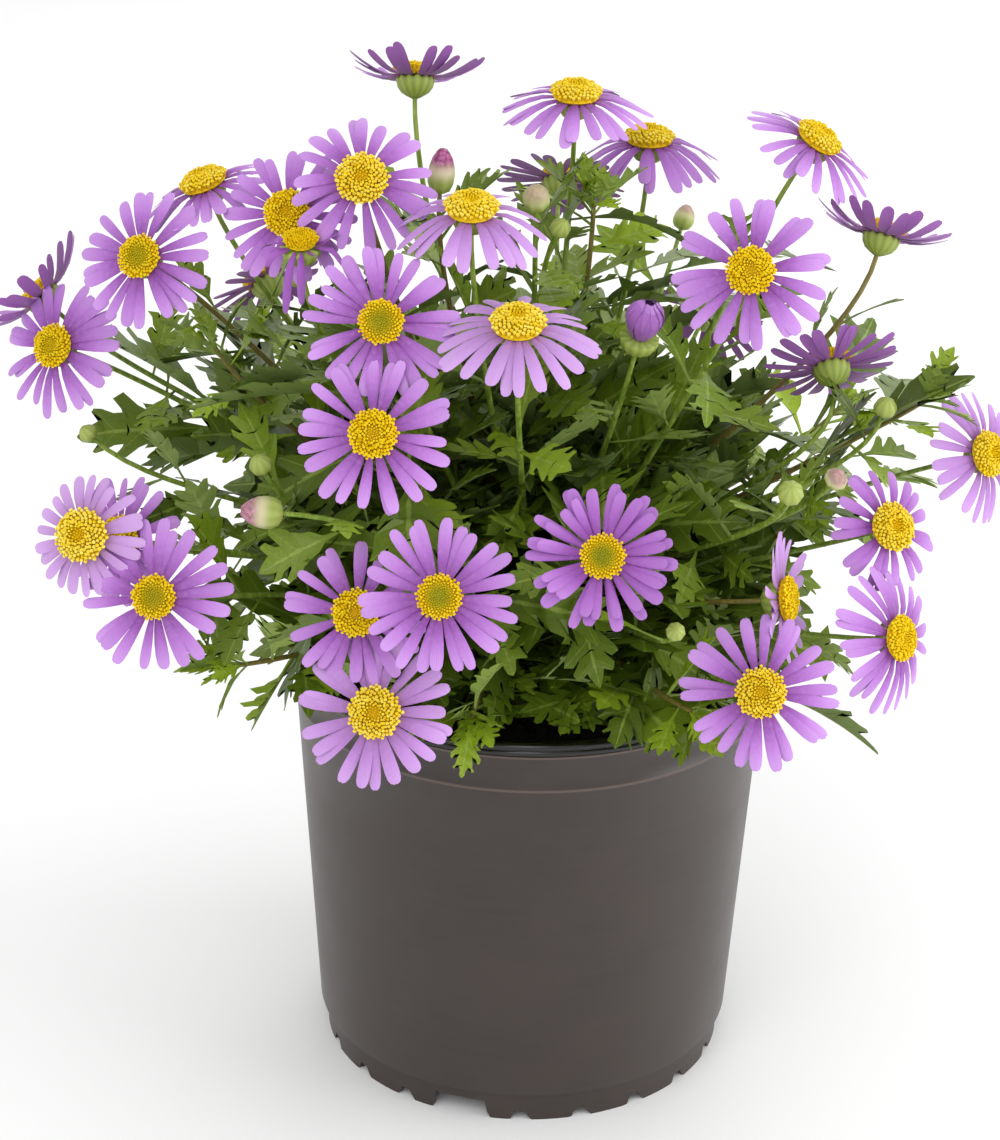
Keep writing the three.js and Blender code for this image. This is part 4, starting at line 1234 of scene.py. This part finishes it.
def stem_leaves(stems, spacing, rng):
    """Leaves in a spiral up every stem: each turns by the golden angle and stands off at 35 to 75 degrees.

    Returns bases, headings, lengths, and how young each leaf is.
    """
    bases, headings, lengths, young = [], [], [], []
    for stem in stems:
        path = stem["path"]
        steps = np.linalg.norm(np.diff(path, axis=0), axis=1)
        run = np.concatenate([[0], np.cumsum(steps)])
        shoot = stem["kind"] == "shoot"
        top = run[-1] - (0 if shoot else 26 if stem["kind"] == "bloom" else 9)
        places = np.arange(12, max(top, 20), spacing) + rng.uniform(-1.5, 1.5)
        base = np.stack([np.interp(places, run, path[:, i]) for i in range(3)], -1)
        along = unit(np.stack([np.interp(places, run, np.gradient(path[:, i], run)) for i in range(3)], -1))
        side = unit(np.cross(along, [0.31, 0.17, 0.93]))
        other = np.cross(along, side)
        spin = rng.uniform(0, TAU) + GOLDEN_TURN * np.arange(len(places))
        off = np.radians(rng.uniform(35, 75, len(places)))
        round_stem = side * np.cos(spin)[:, None] + other * np.sin(spin)[:, None]
        heading = along * np.cos(off)[:, None] + round_stem * np.sin(off)[:, None]
        share = places / run[-1]
        bases.append(base)
        headings.append(unit(heading))
        lengths.append((37 - 17 * share**1.5) * rng.uniform(0.72, 1.15, len(places)))
        freshness = share * (1.2 if shoot else 0.75) - 0.25
        young.append(np.clip(freshness + rng.normal(0, 0.15, len(places)), 0, 1))
        if shoot:
            count = TUFT_LEAVES
            tip_spin = GOLDEN_TURN * np.arange(count)
            tip_off = np.radians(np.linspace(12, 42, count))
            tip_round = side[-1] * np.cos(tip_spin)[:, None] + other[-1] * np.sin(tip_spin)[:, None]
            bases.append(np.repeat(path[-1:], count, 0) - stem["axis"] * np.linspace(0, 3, count)[:, None])
            tuft = stem["axis"] * np.cos(tip_off)[:, None] + tip_round * np.sin(tip_off)[:, None]
            headings.append(unit(tuft))
            lengths.append(np.linspace(7, 19, count))
            young.append(np.linspace(1, 0.6, count))
    return np.concatenate(bases), np.concatenate(headings), np.concatenate(lengths), np.concatenate(young)


def filling_leaves(sector, count, rng):
    """Leaves that fill the bush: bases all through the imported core, headings outward and upward."""
    z = rng.uniform(110, 182, count)
    share = rng.uniform(0.02, 0.98, count)
    angle = np.radians(sector["from"] + (sector["to"] - sector["from"]) * share)
    out = np.interp(z, CORE_HEIGHTS, CORE_RADII) * np.sqrt(rng.uniform(0.05, 1.0, count))
    base = np.stack([out * np.cos(angle), out * np.sin(angle), z], -1)
    turn = angle + rng.normal(0, 0.8, count)
    rise = np.radians(rng.uniform(-15, 60, count))
    heading = np.stack([np.cos(turn) * np.cos(rise), np.sin(turn) * np.cos(rise), np.sin(rise)], -1)
    return base, heading, rng.uniform(26, 44, count), rng.uniform(0, 0.25, count)


def rim_leaves(sector, count, rng):
    """Short leaves at the pot's rim: bases in a ring inside it, headings near level and mostly outward."""
    share = rng.uniform(0.02, 0.98, count)
    angle = np.radians(sector["from"] + (sector["to"] - sector["from"]) * share)
    out = rng.uniform(34, 54, count)
    base = np.stack([out * np.cos(angle), out * np.sin(angle), rng.uniform(114, 126, count)], -1)
    turn = angle + rng.normal(0, 1.5, count)
    rise = np.radians(rng.uniform(-6, 26, count))
    heading = np.stack([np.cos(turn) * np.cos(rise), np.sin(turn) * np.cos(rise), np.sin(rise)], -1)
    return base, heading, rng.uniform(17, 28, count), rng.uniform(0, 0.6, count)


def facing_axes(heading, rng):
    """Axes of leaves that run along the heading, with their faces turned up and rolled a little."""
    level = unit(np.cross([0, 0, 1.0], heading))
    up = np.cross(heading, level)
    roll = rng.normal(0, 0.5, len(heading))[:, None]
    side = level * np.cos(roll) + up * np.sin(roll)
    return heading, side, np.cross(heading, side)


# Colours of the foliage that aren't settings
VEIN_GREEN = (0.34, 0.40, 0.16, 1.0)
UNDERSIDE_GREEN = (0.20, 0.27, 0.09, 1.0)
STEM_RED = (0.16, 0.055, 0.025, 1.0)
WOODY_BROWN = (0.045, 0.036, 0.016, 1.0)
CUP_GREEN = (0.33, 0.40, 0.075, 1.0)
GROOVE_GREEN = (0.12, 0.19, 0.03, 1.0)
BUD_GREEN = (0.36, 0.42, 0.10, 1.0)
BUD_PALE = (0.62, 0.55, 0.36, 1.0)
BUD_WINE = (0.20, 0.03, 0.10, 1.0)
BUD_PINK = (0.45, 0.12, 0.30, 1.0)


def leaf_finish(settings):
    """Leaves: dark to mid green by leaf, yellow-green when young, pale veins, a duller paler underside."""
    f = Finish("leaf_green")
    tone, young, rib, vein = (f.value(name) for name in ("tone", "young", "rib", "vein"))
    cloud = f.noise(160.0, 3.0)
    fine = f.noise(1400.0, 3.0)
    grown = f.sum("MULTIPLY_ADD", cloud, 0.6, f.sum("MULTIPLY_ADD", tone, 0.8, -0.25))
    colour = f.mix(grown, opaque(settings.dark), opaque(settings.green))
    colour = f.mix(young, colour, opaque(settings.young))
    lines = f.sum("MAXIMUM", f.span(rib, 0.05, 0.13, 0.5, 0.0), f.span(vein, 0.86, 0.99, 0.0, 0.3))
    pale = f.mix(0.45, opaque(settings.young), VEIN_GREEN)
    colour = f.mix(lines, colour, pale)
    colour = f.mix(f.span(fine, 0.4, 0.75, 0.0, 0.25), colour, opaque(settings.dark, 0.6))
    under = f.mix(0.55, colour, UNDERSIDE_GREEN)
    side = f.span(f.value("under"), 0.505, 0.52)
    relief = f.sum("ADD", f.sum("MULTIPLY", lines, -0.8), f.sum("MULTIPLY", fine, 0.35))
    return f.shade(
        Base_Color=f.mix(side, colour, under),
        Roughness=f.span(f.sum("ADD", side, f.sum("MULTIPLY", cloud, 0.5)), 0.1, 1.2, 0.38, 0.62),
        Specular_IOR_Level=0.3,
        Normal=f.bump(relief, 0.4, 0.0004),
    )


def stalk_finish(settings):
    """Stalks: woody brown at the crown, green above with fine lengthwise streaks."""
    f = Finish("stalk_green")
    high = f.value("high")
    upright_place = f.node("ShaderNodeMapping", {0: f.place(), "Scale": (3.0, 3.0, 0.4)}).outputs[0]
    streak = f.noise(300.0, 2.0, 0.5, upright_place)
    green = f.mix(f.span(streak, 0.35, 0.7), opaque(settings.green), opaque(settings.stalk))
    green = f.mix(f.sum("MULTIPLY", f.value("red"), 0.6), green, STEM_RED)
    colour = f.mix(f.span(high, 0.0, 0.4), WOODY_BROWN, green)
    colour = f.mix(f.span(high, 1.0, 1.5), colour, CUP_GREEN)
    return f.shade(
        Base_Color=f.mix(f.value("stripe"), colour, GROOVE_GREEN),
        Roughness=0.5,
        Specular_IOR_Level=0.4,
        Normal=f.bump(streak, 0.25, 0.0003),
    )


def bud_finish(settings):
    """Buds: green at the foot, pale above, with violet-pink tips on those about to open."""
    f = Finish("bud")
    tip, blush = f.value("tip"), f.value("blush")
    green = f.mix(f.value("stripe"), BUD_GREEN, opaque(settings.green))
    pale = f.mix(blush, green, BUD_PALE)
    colour = f.mix(f.span(tip, 0.25, 0.55), green, pale)
    pink = f.mix(f.span(f.noise(900.0), 0.35, 0.65), BUD_WINE, BUD_PINK)
    colour = f.mix(f.sum("MULTIPLY", blush, f.span(tip, 0.5, 0.8)), colour, pink)
    return f.shade(Base_Color=colour, Roughness=0.5, Specular_IOR_Level=0.4)


class DAISY_OT_stalks(bpy.types.Operator):
    """Build the stems of each sector with the cups under their blooms"""

    bl_idname = "daisy.stalks"
    bl_label = "Stalks and cups"

    def execute(self, context):
        settings = context.scene.daisy_foliage
        finish = stalk_finish(settings)
        for sector in SECTORS:
            stems = sector_stems(sector)
            shells = Shells("high", "stripe", "red")
            paths = np.stack([stem["path"] for stem in stems])
            rows = paths.shape[1]
            share = np.linspace(0, 1, rows)
            sides = self.STEM_SIDES
            radii = (settings.stem_low + (settings.stem_high - settings.stem_low) * share**0.6) / MM
            axes = np.stack([stem["axis"] for stem in stems])
            red = np.array([[stem["kind"] == "shoot" or k % 9 == 2] for k, stem in enumerate(stems)], float)
            tubes = swept(paths, radii, sides, axes)
            shells.add(tubes, *shell_faces(rows, sides), high=row_values(share, sides), red=red)
            blooms = [stem for stem in stems if stem["kind"] == "bloom"]
            shells.add(*self.cups(blooms), stripe=self.stripes(len(blooms)), high=1.5)
            piece = shells.build(f"stalks_{sector['name']}", finish)
            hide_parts(sector["node"])
        return {"FINISHED"}

    STEM_SIDES = 7
    CUP_SIDES = 26
    CUP_RADII = np.array([0.7, 1.9, 3.4, 4.4, 4.8, 4.7])
    CUP_HEIGHTS = np.array([-0.9, -0.3, 0.6, 2.0, 3.4, 4.2])

    @classmethod
    def cups(cls, stems):
        """Round cups of two rows of bracts, whose edge stands up and down thirteen times."""
        ends = np.stack([stem["end"] for stem in stems])
        n = np.stack([stem["axis"] for stem in stems])
        u = unit(np.cross(n, [0.2, 0.3, 0.93]))
        v = np.cross(n, u)
        ripple = np.cos(math.pi * np.arange(cls.CUP_SIDES))
        radii = np.tile(cls.CUP_RADII[:, None] + 0.12 * ripple, (len(stems), 1, 1))
        heights = cls.CUP_HEIGHTS[:, None] + np.where(np.arange(6) > 3, 0.35, 0.0)[:, None] * ripple
        points = turned(ends, n, u, v, radii, np.tile(heights, (len(stems), 1, 1)), cls.CUP_SIDES)
        return points, *shell_faces(6, cls.CUP_SIDES)

    @classmethod
    def stripes(cls, count):
        """1 in the grooves between bracts and 0 on them."""
        ring = (np.arange(cls.CUP_SIDES) % 2) * 0.6
        return np.tile(np.concatenate([np.tile(ring, 6), [0.4, 0.6]]), (count, 1))


class DAISY_OT_buds(bpy.types.Operator):
    """Build the buds of each sector"""

    bl_idname = "daisy.buds"
    bl_label = "Buds"

    SIDES = 16
    ROUND = np.array([0.30, 0.72, 0.95, 1.0, 0.93, 0.74, 0.46, 0.24])
    LEVELS = np.array([0.0, 0.08, 0.24, 0.42, 0.6, 0.78, 0.92, 1.0])

    def execute(self, context):
        finish = bud_finish(context.scene.daisy_foliage)
        for sector in SECTORS:
            buds = [stem for stem in sector_stems(sector) if isinstance(stem["kind"], tuple)]
            ends = np.stack([stem["end"] for stem in buds])
            n = np.stack([stem["axis"] for stem in buds])
            half, length, blush = np.array([stem["kind"] for stem in buds]).T
            u = unit(np.cross(n, [0.2, 0.3, 0.93]))
            v = np.cross(n, u)
            ripple = 0.035 * np.cos(math.pi * np.arange(self.SIDES))
            radii = half[:, None, None] * (self.ROUND[:, None] + ripple)
            heights = length[:, None] * self.LEVELS
            points = turned(ends, n, u, v, radii, heights, self.SIDES)
            shells = Shells("tip", "blush", "stripe")
            stripe = np.concatenate([np.tile((np.arange(self.SIDES) % 2) * 0.4, len(self.ROUND)), [0.5, 0.5]])
            tip = row_values(self.LEVELS, self.SIDES)
            faces = shell_faces(len(self.ROUND), self.SIDES)
            shells.add(points, *faces, tip=tip, blush=blush[:, None], stripe=stripe)
            piece = shells.build(f"buds_{sector['name']}", finish)
            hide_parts(sector["node"])
        return {"FINISHED"}


class DAISY_OT_leaves(bpy.types.Operator):
    """Build the leaves of each sector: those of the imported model, then those along the stems and inside"""

    bl_idname = "daisy.leaves"
    bl_label = "Leaves"

    def execute(self, context):
        settings = context.scene.daisy_foliage
        finish = leaf_finish(settings)
        for sector in SECTORS:
            stems = sector_stems(sector)
            rng = np.random.default_rng(sector["seed"] + 1000)
            shells = Shells(*LEAF_VALUES)
            packed = packed_leaves(sector, stems)
            axes = leaf_axes(*packed[:, 3:6].T)
            far = too_far_out(probe_points(packed[:, :3], axes, packed[:, 6], packed[:, 7]))
            packed[far, 6] *= FAR_SHARE
            add_leaves(shells, packed[:, :3], axes, packed[:, 6], packed[:, 7], rng, young=0.1)
            groups = (
                stem_leaves(stems, settings.leaf_spacing / MM, rng),
                filling_leaves(sector, settings.filling, rng),
                rim_leaves(sector, settings.rim_filling, rng),
            )
            for base, heading, length, young in groups:
                axes = facing_axes(heading, rng)
                sag = rng.uniform(0.02, 0.32, len(base))
                probes = probe_points(base, axes, length, sag)
                fits = clear_of_others(probes).all(1) & ~below_rim(probes)
                axes = tuple(axis[fits] for axis in axes)
                add_leaves(shells, base[fits], axes, length[fits], sag[fits], rng, young=young[fits])
            piece = shells.build(f"leaves_{sector['name']}", finish, crease=75)
            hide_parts(sector["node"])
        return {"FINISHED"}


# Stage
class DAISY_OT_stage(bpy.types.Operator):
    """Lay the floor, set the soft lights and stand the camera where the photograph was taken from"""

    bl_idname = "daisy.stage"
    bl_label = "Stage"

    def execute(self, context):
        settings = context.scene.daisy_stage
        self.floor(settings)
        self.area_light("front_light", (-0.35, -1.1, 1.0), 1.1, settings.key_power)
        self.area_light("left_light", (-1.2, -0.25, 0.45), 0.9, settings.side_power * LEFT_SHARE)
        self.area_light("right_light", (1.2, -0.25, 0.45), 0.9, settings.side_power * RIGHT_SHARE)
        self.area_light("back_light", (0.3, 1.1, 1.0), 1.0, settings.side_power)
        world = bpy.data.worlds.new("studio")
        world.use_nodes = True
        world.node_tree.nodes["Background"].inputs["Color"].default_value = (1.0, 1.0, 1.0, 1.0)
        world.node_tree.nodes["Background"].inputs["Strength"].default_value = settings.sky
        context.scene.world = world
        context.scene.view_settings.view_transform = "Standard"
        self.camera(context)
        return {"FINISHED"}

    @staticmethod
    def floor(settings):
        """One square face at the height of the pot's feet."""
        side = 6.0
        corners = [(-side, -side, 0), (side, -side, 0), (side, side, 0), (-side, side, 0)]
        mesh = bpy.data.meshes.new("floor")
        mesh.from_pydata(corners, [], [(0, 1, 2, 3)])
        f = Finish("pale_floor")
        mesh.materials.append(f.shade(Base_Color=opaque(settings.floor), Roughness=0.9))
        floor = bpy.data.objects.new("floor", mesh)
        bpy.context.scene.collection.objects.link(floor)

    @staticmethod
    def area_light(name, at, size, power):
        """A square soft light at a place in metres, turned to face the middle of the plant."""
        data = bpy.data.lights.new(name, "AREA")
        data.size = size
        data.energy = power
        light = bpy.data.objects.new(name, data)
        bpy.context.scene.collection.objects.link(light)
        away = np.array(at) - np.array(LIGHT_TARGET)
        z = unit(away)
        x = unit(np.cross([0, 0, 1.0], z))
        turn = np.eye(4)
        turn[:3, :3] = np.stack([x, np.cross(z, x), z], 1)
        turn[:3, 3] = at
        light.matrix_world = Matrix(turn)

    @staticmethod
    def camera(context):
        """The view axes from yaw, pitch and roll, and the focal length that fits the photograph's frame."""
        yaw, pitch, roll = (math.radians(angle) for angle in (CAMERA_YAW, CAMERA_PITCH, CAMERA_ROLL))
        ahead = np.array([math.sin(yaw) * math.cos(pitch), math.cos(yaw) * math.cos(pitch), -math.sin(pitch)])
        right = np.array([math.cos(yaw), -math.sin(yaw), 0])
        up = np.cross(right, ahead)
        turn = np.eye(4)
        turn[:3, 0] = right * math.cos(roll) + up * math.sin(roll)
        turn[:3, 1] = -right * math.sin(roll) + up * math.cos(roll)
        turn[:3, 2] = -ahead
        turn[:3, 3] = (np.array(CAMERA_AT) + POT_AXIS) * MM
        data = bpy.data.cameras.new("camera")
        data.sensor_width = SENSOR
        data.lens = FOCAL_PIXELS / IMAGE_HEIGHT * SENSOR
        data.clip_start = 0.05
        data.clip_end = 20
        camera = bpy.data.objects.new("camera", data)
        bpy.context.scene.collection.objects.link(camera)
        camera.matrix_world = Matrix(turn)
        context.scene.camera = camera


GROUPS = {
    "daisy_pot": PotSettings,
    "daisy_soil": SoilSettings,
    "daisy_bloom": BloomSettings,
    "daisy_foliage": FoliageSettings,
    "daisy_stage": StageSettings,
}
OPERATORS = (
    DAISY_OT_pot,
    DAISY_OT_soil,
    DAISY_OT_stalks,
    DAISY_OT_leaves,
    DAISY_OT_buds,
    DAISY_OT_rays,
    DAISY_OT_discs,
    DAISY_OT_stage,
)


class DAISY_PT_panel(bpy.types.Panel):
    """Settings and operators of the potted daisy"""

    bl_idname = "DAISY_PT_panel"
    bl_label = "Potted daisy"
    bl_space_type = "VIEW_3D"
    bl_region_type = "UI"
    bl_category = "Daisy"

    def draw(self, context):
        for key, group in GROUPS.items():
            box = self.layout.box()
            for name in group.__annotations__:
                box.prop(getattr(context.scene, key), name)
        for operator in OPERATORS:
            self.layout.operator(operator.bl_idname)


def register():
    for key, group in GROUPS.items():
        bpy.utils.register_class(group)
        setattr(bpy.types.Scene, key, PointerProperty(type=group))
    for operator in OPERATORS:
        bpy.utils.register_class(operator)
    bpy.utils.register_class(DAISY_PT_panel)


def unregister():
    bpy.utils.unregister_class(DAISY_PT_panel)
    for operator in reversed(OPERATORS):
        bpy.utils.unregister_class(operator)
    for key, group in reversed(list(GROUPS.items())):
        delattr(bpy.types.Scene, key)
        bpy.utils.unregister_class(group)


def main():
    register()
    bpy.ops.daisy.pot()
    bpy.ops.daisy.soil()
    bpy.ops.daisy.stalks()
    bpy.ops.daisy.leaves()
    bpy.ops.daisy.buds()
    bpy.ops.daisy.rays()
    bpy.ops.daisy.discs()
    bpy.ops.daisy.stage()


if __name__ == "__main__":
    main()
